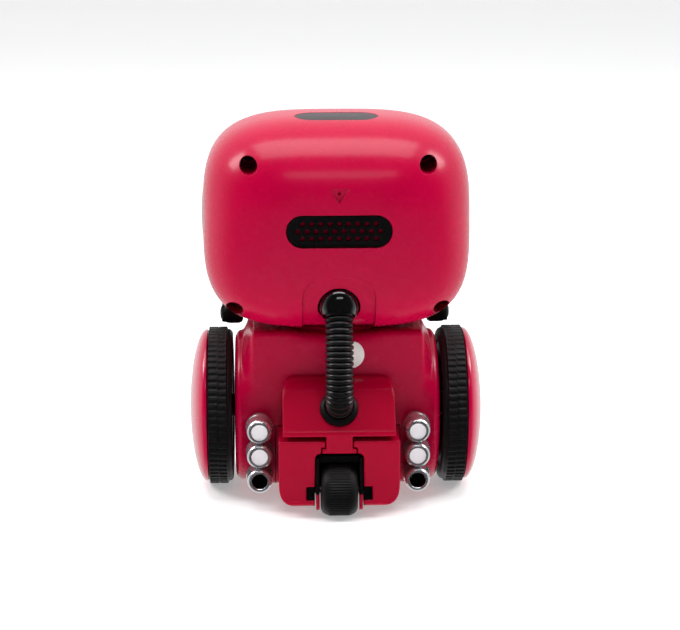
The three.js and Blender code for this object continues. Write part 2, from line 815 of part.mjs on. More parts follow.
// Rings swept along the path: each ring is a closed polygon of points about the path.
function corrugatedSolid() {
  const path = hosePath();
  const around = 10;
  const rows = HOSE_RINGS * 2 + 1;
  const points = [];
  for (let row = 0; row < rows; row += 1) {
    const u = row / (rows - 1);
    const centre = path.getPointAt(u);
    const tangent = path.getTangentAt(u);
    const across = new THREE.Vector3(0, tangent.z, -tangent.y);
    const radius = row % 2 === 0 ? HOSE_ROOT_RADIUS : HOSE_RADIUS;
    for (let i = 0; i < around; i += 1) {
      const angle = (i / around) * 2 * Math.PI;
      points.push(centre.clone()
        .add(new THREE.Vector3(radius * Math.cos(angle), 0, 0))
        .addScaledVector(across, radius * Math.sin(angle)));
    }
  }
  const first = points.length;
  points.push(path.getPointAt(0), path.getPointAt(1));
  const index = [];
  for (let row = 0; row < rows - 1; row += 1) {
    for (let i = 0; i < around; i += 1) {
      const a = row * around + i;
      const b = row * around + ((i + 1) % around);
      index.push(a, b, b + around, a, b + around, a + around);
    }
  }
  const last = (rows - 1) * around;
  for (let i = 0; i < around; i += 1) {
    const next = (i + 1) % around;
    index.push(first, next, i);
    index.push(first + 1, last + i, last + next);
  }
  const geometry = new THREE.BufferGeometry().setFromPoints(points);
  geometry.setIndex(index);
  return toSolid(geometry);
}

function ballSolid() {
  const [, y, z] = BALL_POSITION;
  const r = BALL_RADIUS;
  const profile = [[0, r]];
  for (let i = 1; i <= 9; i += 1) {
    const angle = Math.PI / 2 - (i / 9) * (Math.PI / 2 + 0.55);
    profile.push([r * Math.cos(angle), r * Math.sin(angle)]);
  }
  profile.push([4.5, -4.6], [4.3, -5.6], [3.3, -5.6], [3.3, -4.4], [0, -4.4]);
  const geometry = toGeometry(turned(profile, 'z', [0, 0, 0], SMALL_ROUND));
  geometry.rotateX(BALL_TILT);
  geometry.translate(0, y, z);
  return toSolid(geometry);
}

// ---------------------------------------------------------------- head

// Rounded box: squarer in the rear view than in plan, and rounder towards the top.
function headRadius(direction, half) {
  const [x, y, z] = [0, 1, 2].map((i) => Math.abs(direction.getComponent(i)) / half[i]);
  const rise = THREE.MathUtils.smoothstep(direction.z, -0.6, 0.6);
  const plan = THREE.MathUtils.lerp(3.6, 2.7, rise);
  const face = 3.5;
  return ((x ** face + z ** face) ** (plan / face) + y ** plan) ** (-1 / plan);
}

function headSolid(inset, around, up) {
  const half = HEAD_HALF.map((value) => value - inset);
  const geometry = new THREE.SphereGeometry(1, around, up);
  geometry.rotateX(Math.PI / 2);
  const position = geometry.attributes.position;
  const direction = new THREE.Vector3();
  for (let i = 0; i < position.count; i += 1) {
    direction.fromBufferAttribute(position, i).normalize();
    direction.multiplyScalar(headRadius(direction, half));
    position.setXYZ(i, direction.x, direction.y, direction.z);
  }
  geometry.translate(...HEAD_CENTRE);
  return toSolid(geometry);
}

function screwPlaces() {
  const places = [];
  for (const [x, z] of [UPPER_SCREW, LOWER_SCREW]) {
    places.push([-x, z], [x, z]);
  }
  return places;
}

function ballPocket() {
  const geometry = new THREE.SphereGeometry(BALL_RADIUS + 0.45, 16, 10);
  geometry.translate(...BALL_POSITION);
  return toSolid(geometry);
}

function scoopShape(grow) {
  return prismY(outline([
    [-10.7 - grow, 40],
    [10.7 + grow, 40],
    [10.7 + grow, 76 + grow, 5],
    [-10.7 - grow, 76 + grow, 5],
  ]), -FAR, -14, 4);
}

// A shallow inset panel round the hose ball, with the wall behind it thickened to match.
function scoopTool() {
  return join(cut(scoopShape(0), headSolid(SCOOP_DEPTH, 24, 16)), ballPocket());
}

function scoopSeat() {
  return cut(scoopShape(1.6), headSolid(HEAD_WALL + SCOOP_DEPTH, 24, 16));
}

function grilleShape(grow) {
  return stadium(GRILLE_WIDTH + 2 * grow, GRILLE_HEIGHT + 2 * grow, GRILLE_Z);
}

function visorShape(grow) {
  const w = 31 + grow;
  return rectangle(-w, w, 71 - grow, 108 + grow, 13);
}

function earPocket(side) {
  return rod('x', EAR_RADIUS + GAP, side * (EAR_BASE_X - GAP), side * 50, [0, EAR_Y, EAR_Z], 20);
}

function headShells() {
  const outer = headSolid(0, 24, 16);
  const inner = headSolid(HEAD_WALL, 16, 12);
  const posts = screwPlaces().map(([x, z]) => rod('y', 3.9, -32, 24, [x, 0, z], 10));
  const earSeats = [-1, 1].map((side) => rod('x', EAR_RADIUS + 1.6, side * 33.4, side * 41,
    [0, EAR_Y, EAR_Z], 20));
  const grilleSeat = prismY(stadium(GRILLE_WIDTH + 3, GRILLE_HEIGHT + 3, GRILLE_Z), -37.2, -34.4);
  const touchSeat = block(-14, 14, -17, -2, 116.2, 120);
  const fill = join(...posts, ...earSeats, grilleSeat, scoopSeat(), touchSeat).intersect(outer);
  let shell = join(cut(outer, inner), fill);
  shell = cut(shell, earPocket(-1), earPocket(1));
  shell = cut(shell, rod('z', 5.9, 50, 62, [0, 0, 0], 20));
  shell = cut(shell, prismY(grilleShape(GAP), -FAR, -35.6));
  shell = cut(shell, prismY(stadium(26, 5.4, GRILLE_Z), -FAR, -30));
  shell = cut(shell, touchShape(GAP, 118.2, 130));
  shell = cut(shell, scoopTool());
  const triangle = outline([[-3.1, 103], [0, 98.4], [3.1, 103]]);
  shell = cut(shell, prismY(triangle, -FAR, -35.7), rod('y', 0.7, -FAR, -30, [0, 0, 101.4], 10));
  const seam = GAP / 2;
  let rear = shell.intersect(block(-FAR, FAR, -FAR, HEAD_SEAM_Y - seam, 0, 200));
  let front = shell.intersect(block(-FAR, FAR, HEAD_SEAM_Y + seam, FAR, 0, 200));
  for (const [x, z] of screwPlaces()) {
    rear = cut(rear, rod('y', SCREW_HOLE_RADIUS, -FAR, -8, [x, 0, z], 16));
    rear = cut(rear, rod('y', 1.5, -9, 20, [x, 0, z], 8));
    front = cut(front, rod('y', 1.35, 0, 18, [x, 0, z], 8));
  }
  front = cut(front, prismY(visorShape(GAP), 14, FAR));
  addPart('head_rear_shell', rear, 'red');
  addPart('head_front_shell', front, 'red');
  const skin = cut(outer, inner).intersect(prismY(visorShape(0), 14, FAR));
  const eyeHoles = [-1, 1].map((side) => rod('y', 7.4, 0, FAR, [side * EYE_X, 0, EYE_Z], 20));
  addPart('face_visor', cut(skin, ...eyeHoles), 'gloss');
}

function touchShape(grow, z0, z1) {
  const shape = new THREE.Shape();
  const r = 5.5 + grow;
  shape.moveTo(-7, -9.5 - r);
  shape.lineTo(7, -9.5 - r);
  shape.absarc(7, -9.5, r, -Math.PI / 2, Math.PI / 2, false);
  shape.lineTo(-7, -9.5 + r);
  shape.absarc(-7, -9.5, r, Math.PI / 2, (3 * Math.PI) / 2, false);
  return prismZ(shape, z0, z1, 5);
}

function touchPanel() {
  return touchShape(0, 118.5, 130).intersect(headSolid(0, 24, 16));
}

function earCap(side) {
  const profile = [
    [0, EAR_BASE_X], [EAR_RADIUS, EAR_BASE_X], [EAR_RADIUS, EAR_TIP_X - 2.2],
    [EAR_RADIUS - 1.2, EAR_TIP_X - 1], [EAR_RADIUS - 4, EAR_TIP_X - 0.2], [0, EAR_TIP_X],
  ];
  return turned(profile.map(([r, x]) => [r, side * x]), 'x', [0, EAR_Y, EAR_Z], 20);
}

function speakerGrille() {
  const plate = prismY(grilleShape(0), -37.6, -35.9, 5);
  const holes = [];
  for (let row = -1; row <= 1; row += 1) {
    const count = row === 0 ? 10 : 9;
    for (let i = 0; i < count; i += 1) {
      const x = (i - (count - 1) / 2) * 2.7;
      holes.push(rod('y', 0.75, -40, -34, [x, 0, GRILLE_Z + row * 2.2], 5));
    }
  }
  return cut(plate, ...holes);
}

function eyeRing(side) {
  const profile = [[3.2, 28], [7, 28], [7, 30.6], [6, 31.2], [3.2, 30.6]];
  return turned(profile, 'y', [side * EYE_X, 0, EYE_Z], SMALL_ROUND);
}

function headScrew(x, z) {
  const profile = [[0, -9.4], [2.1, -9.4], [2.1, -8.1], [1.1, -8.1], [1.1, 15], [0, 16]];
  const screw = turned(profile, 'y', [x, 0, z], 12);
  const slots = [
    block(x - 1.4, x + 1.4, -10, -8.9, z - 0.25, z + 0.25),
    block(x - 0.25, x + 0.25, -10, -8.9, z - 1.4, z + 1.4),
  ];
  return cut(screw, ...slots);
}

function speakerDriver() {
  const profile = [
    [0, -32.6], [4, -32.6], [11, -33.8], [12, -33.8], [12, -32], [11, -31], [7.5, -29],
    [7.5, -25], [0, -25],
  ];
  return turned(profile, 'y', [0, 0, GRILLE_Z], SMALL_ROUND);
}

function neckShaft() {
  const profile = [
    [2.5, 48.6], [6.9, 48.6], [6.9, 50.1], [5.3, 50.1], [5.3, 58.9], [9, 58.9], [9, 60.4],
    [2.5, 60.4],
  ];
  return turned(profile, 'z', [0, 0, 0], SMALL_ROUND);
}

// ---------------------------------------------------------------- arms

function armSolid(side) {
  const shoulder = turned(
    [[0, 29], [2.4, 29], [3.3, 29.8], [3.3, 33.9], [2.8, 35.3], [1.5, 36.4], [0, 36.4]]
      .map(([r, x]) => [r, side * x]),
    'x',
    [0, 0, 0],
    20,
  );
  const pin = rod('x', 1.2, side * 22, side * 30, [0, 0, 0], 12);
  const limb = prismX(outline([
    [-2, -2.8],
    [6, -2.8, 2],
    [20, -7.8, 2],
    [28, -8.6, 2],
    [28, -3.6, 2],
    [20, -2.8, 2],
    [8, 2.8, 2],
    [-2, 2.8],
  ]), side * 31.2, side * 35.8, 3);
  const palmSlot = block(Math.min(side * 32.9, side * 34.1), Math.max(side * 32.9, side * 34.1),
    24, 30, -10, -2);
  return cut(join(shoulder, pin, limb), palmSlot);
}

// ---------------------------------------------------------------- assembly

for (const [side, label] of [[-1, 'left'], [1, 'right']]) {
  addWheel(side, label);
  addIdler(side, label);
  addPinion(side, label);
  addPart(`motor_${label}`, motorSolid(side), 'steel');
  addPart(`pod_cover_${label}`, podCover(side), 'red');
  addPart(`exhaust_pipes_${label}`, pipeCluster(side), 'chrome');
  addPart(`arm_${label}`, armSolid(side), 'black', groupAt(ARM_PIVOT));
  addPart(`ear_cap_${label}`, earCap(side), 'gloss');
  addPart(`eye_ring_${label}`, eyeRing(side), 'eye');
}

bodyShells();
addPart('battery_door', batteryDoor(), 'deepRed');
[-CELL_PITCH, 0, CELL_PITCH].forEach((y, i) => {
  addPart(`battery_cell_${i + 1}`, batteryCell(y), 'cell');
});
addPart('gearbox_frame', gearboxFrame(), 'gear');
addPart('neck_ring', neckRing(), 'deepRed');
addPart('main_circuit_board', mainBoard(), 'board');
addPart('line_sensor_module', sensorModule(), 'black');
addPart('chest_panel', chestPanel(), 'gloss');
addPart('round_sticker', rod('y', 4.35, -BODY_HALF_DEPTH - 0.35, -BODY_HALF_DEPTH - 0.05,
  [3.8, 0, 48.8], 20), 'sticker');

addPart('pack_upper_cover', packUpper(), 'deepRed');
addPart('pack_lower_cover', packLower(), 'deepRed');
addPart('hose_collar', collarSolid(), 'black');
addPart('corrugated_hose', corrugatedSolid(), 'hose');
addPart('rear_wheel_carrier', carrierSolid(), 'deepRed');
addPart('power_switch_slider', switchKnob(), 'black');

const roller = groupAt([0, ROLLER_Y, ROLLER_Z]);
addPart('rear_roller', rollerSolid(), 'rubber', roller);
addPart('rear_roller_axle', rod('x', 1.2, -7.1, 7.1, [0, 0, 0], 16), 'steel', roller);

headShells();
addPart('touch_panel', touchPanel(), 'gloss');
addPart('speaker_grille', speakerGrille(), 'black');
addPart('speaker_driver', speakerDriver(), 'black');
screwPlaces().forEach(([x, z], i) => {
  addPart(`head_screw_${i + 1}`, headScrew(x, z), 'steel');
});
addPart('neck_shaft', neckShaft(), 'black');
addPart('hose_ball', ballSolid(), 'gloss');

export default robot;
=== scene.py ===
import math

import bmesh
import bpy
import numpy as np
from mathutils import Matrix, Vector


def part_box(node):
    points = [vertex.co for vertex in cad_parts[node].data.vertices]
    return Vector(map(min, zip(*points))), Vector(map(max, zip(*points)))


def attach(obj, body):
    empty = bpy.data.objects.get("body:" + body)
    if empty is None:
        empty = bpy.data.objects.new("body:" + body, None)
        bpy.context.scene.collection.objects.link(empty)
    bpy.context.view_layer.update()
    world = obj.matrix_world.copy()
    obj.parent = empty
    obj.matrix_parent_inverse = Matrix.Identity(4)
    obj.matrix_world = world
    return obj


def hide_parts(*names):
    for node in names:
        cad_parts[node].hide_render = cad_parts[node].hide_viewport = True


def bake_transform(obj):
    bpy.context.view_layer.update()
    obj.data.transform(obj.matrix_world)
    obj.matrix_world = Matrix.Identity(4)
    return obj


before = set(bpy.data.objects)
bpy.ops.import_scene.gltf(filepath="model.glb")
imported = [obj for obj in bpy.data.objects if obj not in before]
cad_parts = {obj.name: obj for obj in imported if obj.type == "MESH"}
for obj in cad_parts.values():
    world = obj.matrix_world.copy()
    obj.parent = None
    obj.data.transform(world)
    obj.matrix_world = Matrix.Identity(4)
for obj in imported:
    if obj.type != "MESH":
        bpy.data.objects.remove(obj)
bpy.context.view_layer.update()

# Everything is modelled in millimetres about the drive axle (Y = 0), with the floor at Z = FLOOR_Z,
# and put into the frame's metres at the end.
MM = 0.001
FLOOR_Z = 1.8
tyre_low, tyre_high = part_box("tyre_left")
AXLE_Y = (tyre_low.y + tyre_high.y) / 2
AXLE_Z = (tyre_low.z + tyre_high.z) / 2 / MM + FLOOR_Z
TO_FRAME = Matrix.Translation((0, AXLE_Y, -FLOOR_Z * MM)) @ Matrix.Scale(MM, 4)
# Beyond the robot on every side, for cuts that go right through.
FAR = 90


def in_frame(x, y, z):
    return TO_FRAME @ Vector((x, y, z))


# ------------------------------------------------------------------ camera


def add_camera():
    azimuth, elevation, distance = math.radians(-2), math.radians(14), 0.62
    target = in_frame(1.3, -5, 57)
    back = Vector((
        math.sin(azimuth) * math.cos(elevation),
        -math.cos(azimuth) * math.cos(elevation),
        math.sin(elevation),
    ))
    data = bpy.data.cameras.new("camera")
    data.lens = 105
    data.sensor_width = 36
    data.clip_start = 0.02
    camera = bpy.data.objects.new("camera", data)
    camera.location = target + back * distance
    camera.rotation_euler = (-back).to_track_quat("-Z", "Y").to_euler()
    bpy.context.scene.collection.objects.link(camera)
    bpy.context.scene.camera = camera


add_camera()

# ------------------------------------------------------------------ materials


class Nodes:
    """A short way to write a node tree."""

    def __init__(self, name):
        self.material = bpy.data.materials.new(name)
        self.material.use_nodes = True
        self.tree = self.material.node_tree
        self.shader = self.tree.nodes["Principled BSDF"]
        coords = self.tree.nodes.new("ShaderNodeTexCoord")
        self.position = coords.outputs["Object"]

    def add(self, kind, **inputs):
        node = self.tree.nodes.new(kind)
        for key, value in inputs.items():
            self.set(node, key.replace("_", " "), value)
        return node

    def set(self, node, key, value):
        if isinstance(value, bpy.types.NodeSocket):
            self.tree.links.new(value, node.inputs[key])
        else:
            node.inputs[key].default_value = value

    def noise(self, scale, detail=3.0, roughness=0.55):
        node = self.add("ShaderNodeTexNoise", Vector=self.position, Scale=scale, Detail=detail,
                        Roughness=roughness)
        return node.outputs["Fac"]

    def remap(self, value, low, high, start=0.3, end=0.7):
        node = self.add("ShaderNodeMapRange", Value=value)
        for key, number in (("From Min", start), ("From Max", end), ("To Min", low),
                            ("To Max", high)):
            node.inputs[key].default_value = number
        return node.outputs["Result"]

    def blend(self, factor, first, second):
        node = self.tree.nodes.new("ShaderNodeMix")
        node.data_type = "RGBA"
        self.set(node, 0, factor)
        node.inputs[6].default_value = (*first, 1)
        if isinstance(second, bpy.types.NodeSocket):
            self.tree.links.new(second, node.inputs[7])
        else:
            node.inputs[7].default_value = (*second, 1)
        return node.outputs[2]

    def bump(self, height, distance, normal=None, strength=1.0):
        node = self.add("ShaderNodeBump", Height=height, Strength=strength, Distance=distance)
        if normal is not None:
            self.tree.links.new(normal, node.inputs["Normal"])
        return node.outputs["Normal"]


def linear(red, green, blue):
    """An sRGB colour from 0 to 255 as linear light."""
    dark_end, dark_slope = 10, 3294
    return tuple(((c / 255 + 0.055) / 1.055) ** 2.4 if c > dark_end else c / dark_slope
                 for c in (red, green, blue))


def finish(name, colour, second, roughness, span=0.015, grain=900, depth=0.0000006, metallic=0.0,
           coat=0.0, coat_roughness=0.1, specular=0.5, soften=0.0):
    """A moulded, plated or rubber surface: slow colour drift, uneven gloss and fine grain."""
    n = Nodes(name)
    n.shader.inputs["Metallic"].default_value = metallic
    n.shader.inputs["Coat Weight"].default_value = coat
    n.shader.inputs["Coat Roughness"].default_value = coat_roughness
    n.shader.inputs["Specular IOR Level"].default_value = specular
    drift = n.remap(n.noise(90, 4), 0, 1)
    n.set(n.shader, "Base Color", n.blend(drift, colour, second))
    handled = n.noise(260, 2, 0.5)
    n.set(n.shader, "Roughness", n.remap(handled, roughness - span, roughness + span))
    normal = None
    if soften:
        bevel = n.add("ShaderNodeBevel", Radius=soften)
        bevel.samples = 4
        normal = bevel.outputs["Normal"]
    flow = n.bump(n.noise(38, 1), 0.00002, normal, 0.25)
    n.set(n.shader, "Normal", n.bump(n.noise(grain, 2), depth, flow, 0.6))
    return n.material


def brushed(name, colour, second, roughness):
    """Turned steel, with fine rings along X."""
    n = Nodes(name)
    n.shader.inputs["Metallic"].default_value = 1.0
    scaled = n.add("ShaderNodeMapping", Vector=n.position)
    scaled.inputs["Scale"].default_value = (9000, 500, 500)
    streaks = n.add("ShaderNodeTexNoise", Vector=scaled.outputs["Vector"], Scale=1.0, Detail=2.0)
    n.set(n.shader, "Base Color", n.blend(streaks.outputs["Fac"], colour, second))
    n.set(n.shader, "Roughness", n.remap(streaks.outputs["Fac"], roughness, roughness + 0.15))
    n.set(n.shader, "Normal", n.bump(streaks.outputs["Fac"], 0.00001))
    return n.material


def paper(name, colour, second):
    """Blank label stock, with fibres."""
    n = Nodes(name)
    fibres = n.noise(3200, 6, 0.7)
    n.set(n.shader, "Base Color", n.blend(n.remap(fibres, 0, 1), colour, second))
    n.set(n.shader, "Roughness", n.remap(fibres, 0.5, 0.7))
    n.set(n.shader, "Normal", n.bump(fibres, 0.00001))
    return n.material


def board(name, colour, second):
    """Solder resist with faint copper tracks under it."""
    n = Nodes(name)
    tracks = n.add("ShaderNodeTexBrick", Vector=n.position, Scale=160.0)
    tracks.inputs["Color1"].default_value = (*colour, 1)
    tracks.inputs["Color2"].default_value = (*second, 1)
    tracks.inputs["Mortar"].default_value = (0.2, 0.32, 0.08, 1)
    n.set(n.shader, "Base Color", tracks.outputs["Color"])
    n.set(n.shader, "Roughness", n.remap(n.noise(800), 0.3, 0.5))
    n.set(n.shader, "Normal", n.bump(tracks.outputs["Fac"], 0.00003))
    return n.material


def glow(name, colour, second):
    """The frosted ring over a light."""
    material = finish(name, colour, second, 0.35, grain=1500)
    shader = material.node_tree.nodes["Principled BSDF"]
    shader.inputs["Emission Color"].default_value = (*colour, 1)
    shader.inputs["Emission Strength"].default_value = 0.35
    return material


RED = finish("red_shell", linear(172, 0, 52), linear(168, 0, 50), 0.27, coat=0.12,
             coat_roughness=0.12, specular=0.14)
RED_EDGED = finish("red_shell_edged", linear(174, 0, 53), linear(170, 0, 51), 0.27, coat=0.12,
                   coat_roughness=0.12, specular=0.14, soften=0.00035)
RED_BASE = finish("red_base", linear(166, 0, 42), linear(162, 0, 40), 0.24, coat=0.14,
                  coat_roughness=0.1, specular=0.12, soften=0.0008)
DOME = finish("red_dome", linear(180, 0, 58), linear(176, 0, 56), 0.2, coat=0.5,
              coat_roughness=0.12, specular=0.3)
# Near-white matte finish for the closed ends of the upper pipes: a painted reflection, standing in
# for what their chrome would mirror.
CAP_PAINTED_REFLECTION = finish("cap_painted_reflection", linear(244, 244, 247), linear(234, 234, 238), 0.5, metallic=0.1)
TYRE = finish("tyre_rubber", linear(20, 19, 21), linear(14, 13, 15), 0.5, span=0.1, grain=1800,
              depth=0.000008, specular=0.25)
# Black plastic. The same material is also laid on as painted shade: the wheel well, the clip
# notches, the carrier above the roller's axle, the ball pocket and the lowest pipe's bore.
BLACK_AND_SHADE = finish("black_plastic", linear(14, 13, 14), linear(10, 9, 10), 0.4, grain=1500,
               depth=0.000003, specular=0.15)
TOUCH = finish("touch_glass", linear(52, 44, 48), linear(46, 38, 42), 0.4, coat=0.1,
               specular=0.12)
GLOSS = finish("gloss_black", linear(8, 8, 9), linear(11, 11, 12), 0.12, span=0.04,
               depth=0.000002, coat=0.6, coat_roughness=0.05)
HOSE = finish("hose_plastic", linear(18, 17, 19), linear(13, 12, 14), 0.3, grain=1700,
              depth=0.000003, specular=0.35)
CHROME = finish("chrome_plate", linear(214, 214, 218), linear(202, 202, 207), 0.22, span=0.015,
                metallic=0.88, depth=0.0000003)
# Steel darkened as painted shade, for the head screws down in their holes.
SCREW_STEEL_SHADED = brushed("screw_steel_painted_shade", linear(44, 42, 44), linear(28, 27, 29), 0.4)
STEEL = brushed("steel", linear(168, 168, 170), linear(120, 120, 124), 0.28)
GEAR = finish("gear_plastic", linear(226, 223, 214), linear(214, 210, 198), 0.45)
CELL = finish("cell_sleeve", linear(82, 98, 134), linear(70, 84, 118), 0.35)
BOARD = board("circuit_board", linear(24, 88, 46), linear(18, 74, 38))
STICKER = paper("sticker_paper", linear(236, 230, 227), linear(226, 220, 217))
EYE = glow("eye_light", linear(150, 214, 236), linear(130, 200, 226))

# ------------------------------------------------------------------ mesh tools


def ease(value, low, high):
    """0 at low and 1 at high, with a smooth start and end."""
    t = np.clip((value - low) / (high - low), 0, 1)
    return t * t * (3 - 2 * t)


def fineness(full):
    """The full detail."""
    return full


def mesh_object(name, points, faces):
    mesh = bpy.data.meshes.new(name)
    mesh.from_pydata([tuple(map(float, p)) for p in points], [],
                     [tuple(map(int, f)) for f in faces])
    mesh.validate()
    made = bpy.data.objects.new(name, mesh)
    bpy.context.scene.collection.objects.link(made)
    return made


def bake(obj):
    """Applies every modifier."""
    graph = bpy.context.evaluated_depsgraph_get()
    mesh = bpy.data.meshes.new_from_object(obj.evaluated_get(graph))
    obj.modifiers.clear()
    old, obj.data = obj.data, mesh
    bpy.data.meshes.remove(old)
    return obj


def boolean(obj, tool, operation):
    modifier = obj.modifiers.new("boolean", "BOOLEAN")
    modifier.operation = operation
    modifier.solver = "EXACT"
    modifier.object = tool
    bake(obj)
    bpy.data.objects.remove(tool)
    return obj


def cut(obj, *tools):
    for tool in tools:
        boolean(obj, tool, "DIFFERENCE")
    return obj


def join(obj, *others):
    for other in others:
        boolean(obj, other, "UNION")
    return obj


def common(obj, *others):
    for other in others:
        boolean(obj, other, "INTERSECT")
    return obj


def soften(obj, voxel, passes):
    """Rebuilds a sharp solid on a fine grid and rounds its edges, as a mould does."""
    remesh = obj.modifiers.new("remesh", "REMESH")
    remesh.mode = "VOXEL"
    remesh.voxel_size = voxel
    smooth = obj.modifiers.new("smooth", "SMOOTH")
    smooth.factor = 0.5
    smooth.iterations = passes
    return bake(obj)


def copy_of(obj, name):
    made = bpy.data.objects.new(name, obj.data.copy())
    bpy.context.scene.collection.objects.link(made)
    return made


AXES = {
    "x": lambda r, a, t: (t, r * math.cos(a), r * math.sin(a)),
    "y": lambda r, a, t: (r * math.sin(a), t, r * math.cos(a)),
    "z": lambda r, a, t: (r * math.cos(a), r * math.sin(a), t),
}


def ring_faces(rows, around, closed):
    """The faces between rows of points. It closes row to row, or has a cap at either end."""
    faces = []
    for row in range(rows if closed else rows - 1):
        a, b = row * around, (row + 1) % rows * around
        for i in range(around):
            j = (i + 1) % around
            faces.append((a + i, a + j, b + j, b + i))
    if not closed:
        faces.append(list(range(around))[::-1])
        faces.append([(rows - 1) * around + i for i in range(around)])
    return faces


def revolve(name, profile, axis="z", centre=(0, 0, 0), around=64, closed=True):
    """Turns a profile of (radius, distance along the axis). Closed, it is a ring's section."""
    points = []
    for radius, along in profile:
        for i in range(around):
            angle = 2 * math.pi * i / around
            x, y, z = AXES[axis](radius, angle, along)
            points.append((x + centre[0], y + centre[1], z + centre[2]))
    return tidy(mesh_object(name, points, ring_faces(len(profile), around, closed)))


def tidy(obj):
    """Welds doubled points and turns every face outwards."""
    shape = bmesh.new()
    shape.from_mesh(obj.data)
    bmesh.ops.remove_doubles(shape, verts=shape.verts, dist=1e-5)
    bmesh.ops.dissolve_degenerate(shape, edges=shape.edges, dist=1e-6)
    bmesh.ops.recalc_face_normals(shape, faces=shape.faces)
    shape.to_mesh(obj.data)
    shape.free()
    return obj


def rod(name, axis, radius, start, end, centre=(0, 0, 0), around=48):
    low, high = min(start, end), max(start, end)
    return revolve(name, [(radius, low), (radius, high)], axis, centre, around, closed=False)


def rounded(corners, steps=6):
    """A closed outline from [x, y, radius] corners, each turned with a smooth curve."""
    outline = []
    count = len(corners)
    for i, (x, y, *rest) in enumerate(corners):
        radius = rest[0] if rest else 0
        here = Vector((x, y))
        before = Vector(corners[i - 1][:2])
        after = Vector(corners[(i + 1) % count][:2])
        if not radius:
            outline.append(here)
            continue
        start = here + (before - here).normalized() * radius
        end = here + (after - here).normalized() * radius
        for k in range(steps + 1):
            t = k / steps
            outline.append(start * (1 - t) ** 2 + here * 2 * t * (1 - t) + end * t ** 2)
    return outline


def rectangle(x0, x1, y0, y1, radius=0.0, steps=6):
    return rounded([(x0, y0, radius), (x1, y0, radius), (x1, y1, radius), (x0, y1, radius)], steps)


def stadium(width, height, middle, steps=24):
    radius = height / 2
    half = width / 2 - radius
    outline = []
    for side in (1, -1):
        for k in range(steps + 1):
            angle = -math.pi / 2 + math.pi * k / steps
            outline.append(Vector((side * (half + radius * math.cos(angle)),
                                   middle + side * radius * math.sin(angle))))
    return outline


PLANES = {
    "x": lambda u, v, t: (t, u, v),
    "y": lambda u, v, t: (u, t, v),
    "z": lambda u, v, t: (u, v, t),
}


def prism(name, outline, axis, start, end):
    """Extrudes an outline along an axis. Its coordinates are the other two axes, in order."""
    count = len(outline)
    points = [PLANES[axis](p[0], p[1], t) for t in (start, end) for p in outline]
    faces = [(i, (i + 1) % count, count + (i + 1) % count, count + i) for i in range(count)]
    faces += [list(range(count)), [count + i for i in range(count)][::-1]]
    return tidy(mesh_object(name, points, faces))


def box(name, x0, x1, y0, y1, z0, z1):
    return prism(name, rectangle(x0, x1, y0, y1), "z", z0, z1)


def smooth_shade(obj, angle=None):
    obj.data.shade_smooth()
    if angle is not None:
        obj.data.set_sharp_from_angle(angle=math.radians(angle))
    return obj


def to_frame(obj):
    obj.data.transform(TO_FRAME)
    obj.data.update()


def piece(obj, body, material, slot, *nodes, angle=None, shaded=True):
    """Puts a finished mesh into the frame and ties it to its CAD body and nodes."""
    if shaded:
        smooth_shade(obj, angle)
    to_frame(obj)
    obj.data.materials.clear()
    obj.data.materials.append(material)
    if body:
        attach(obj, body)
    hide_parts(*nodes)
    return obj


# ------------------------------------------------------------------ head

HEAD_CENTRE = np.array([0.0, -3.0, 88.5])
HEAD_HALF = np.array([40.9, 35.0, 32.0])
HEAD_WALL = 2.0
SEAM_Y = 4.0
SEAM_HALF = 0.12
SCREWS = [(side * x, z) for x, z in ((26.5, 108.6), (31.1, 64.7)) for side in (-1, 1)]
GRILLE_Z = 90.2
EAR_CENTRE = (0, 10, 87)
EYE_X, EYE_Z = 13.5, 90
SHOULDER_Y, SHOULDER_Z = 6, 55.4


def head_reach(directions, inset=0.0):
    """Distance from the head's centre to its surface along unit directions."""
    scaled = np.abs(directions) / (HEAD_HALF - inset)
    rise = np.clip((directions[:, 2] + 0.6) / 1.2, 0, 1)
    rise = rise * rise * (3 - 2 * rise)
    plan = 3.6 + (2.7 - 3.6) * rise
    face = (scaled[:, 0] ** 3.5 + scaled[:, 2] ** 3.5) ** (plan / 3.5)
    return (face + scaled[:, 1] ** plan) ** (-1 / plan)


def head_level(points, inset=0.0):
    """1 on the head's surface, less inside it."""
    offset = points - HEAD_CENTRE
    length = np.linalg.norm(offset, axis=1)
    return length / head_reach(offset / length[:, None], inset)


def head_normals(points):
    step = 0.01
    gradient = np.stack([
        head_level(points + step * axis) - head_level(points - step * axis) for axis in np.eye(3)
    ], axis=1)
    return gradient / np.linalg.norm(gradient, axis=1)[:, None]


def head_solid(name, inset, around, up):
    """The rounded box, with its poles at the top and bottom."""
    rows = [math.pi * (i + 1) / up for i in range(up - 1)]
    directions = [(0, 0, 1)]
    for polar in rows:
        for i in range(around):
            turn = 2 * math.pi * i / around
            directions.append((math.sin(polar) * math.cos(turn), math.sin(polar) * math.sin(turn),
                               math.cos(polar)))
    directions.append((0, 0, -1))
    directions = np.array(directions, float)
    points = HEAD_CENTRE + directions * head_reach(directions, inset)[:, None]
    faces = [(0, 1 + i, 1 + (i + 1) % around) for i in range(around)]
    for row in range(up - 2):
        a, b = 1 + row * around, 1 + (row + 1) * around
        for i in range(around):
            j = (i + 1) % around
            faces.append((a + i, b + i, b + j, a + j))
    last, tip = 1 + (up - 2) * around, len(points) - 1
    faces += [(tip, last + (i + 1) % around, last + i) for i in range(around)]
    return mesh_object(name, points, faces)


def head_back_y(x, z):
    """Where the back of the head stands at x, z."""
    low, high = -FAR, HEAD_CENTRE[1]
    for _ in range(40):
        middle = (low + high) / 2
        if head_level(np.array([[x, middle, z]]))[0] > 1:
            low = middle
        else:
            high = middle
    return (low + high) / 2


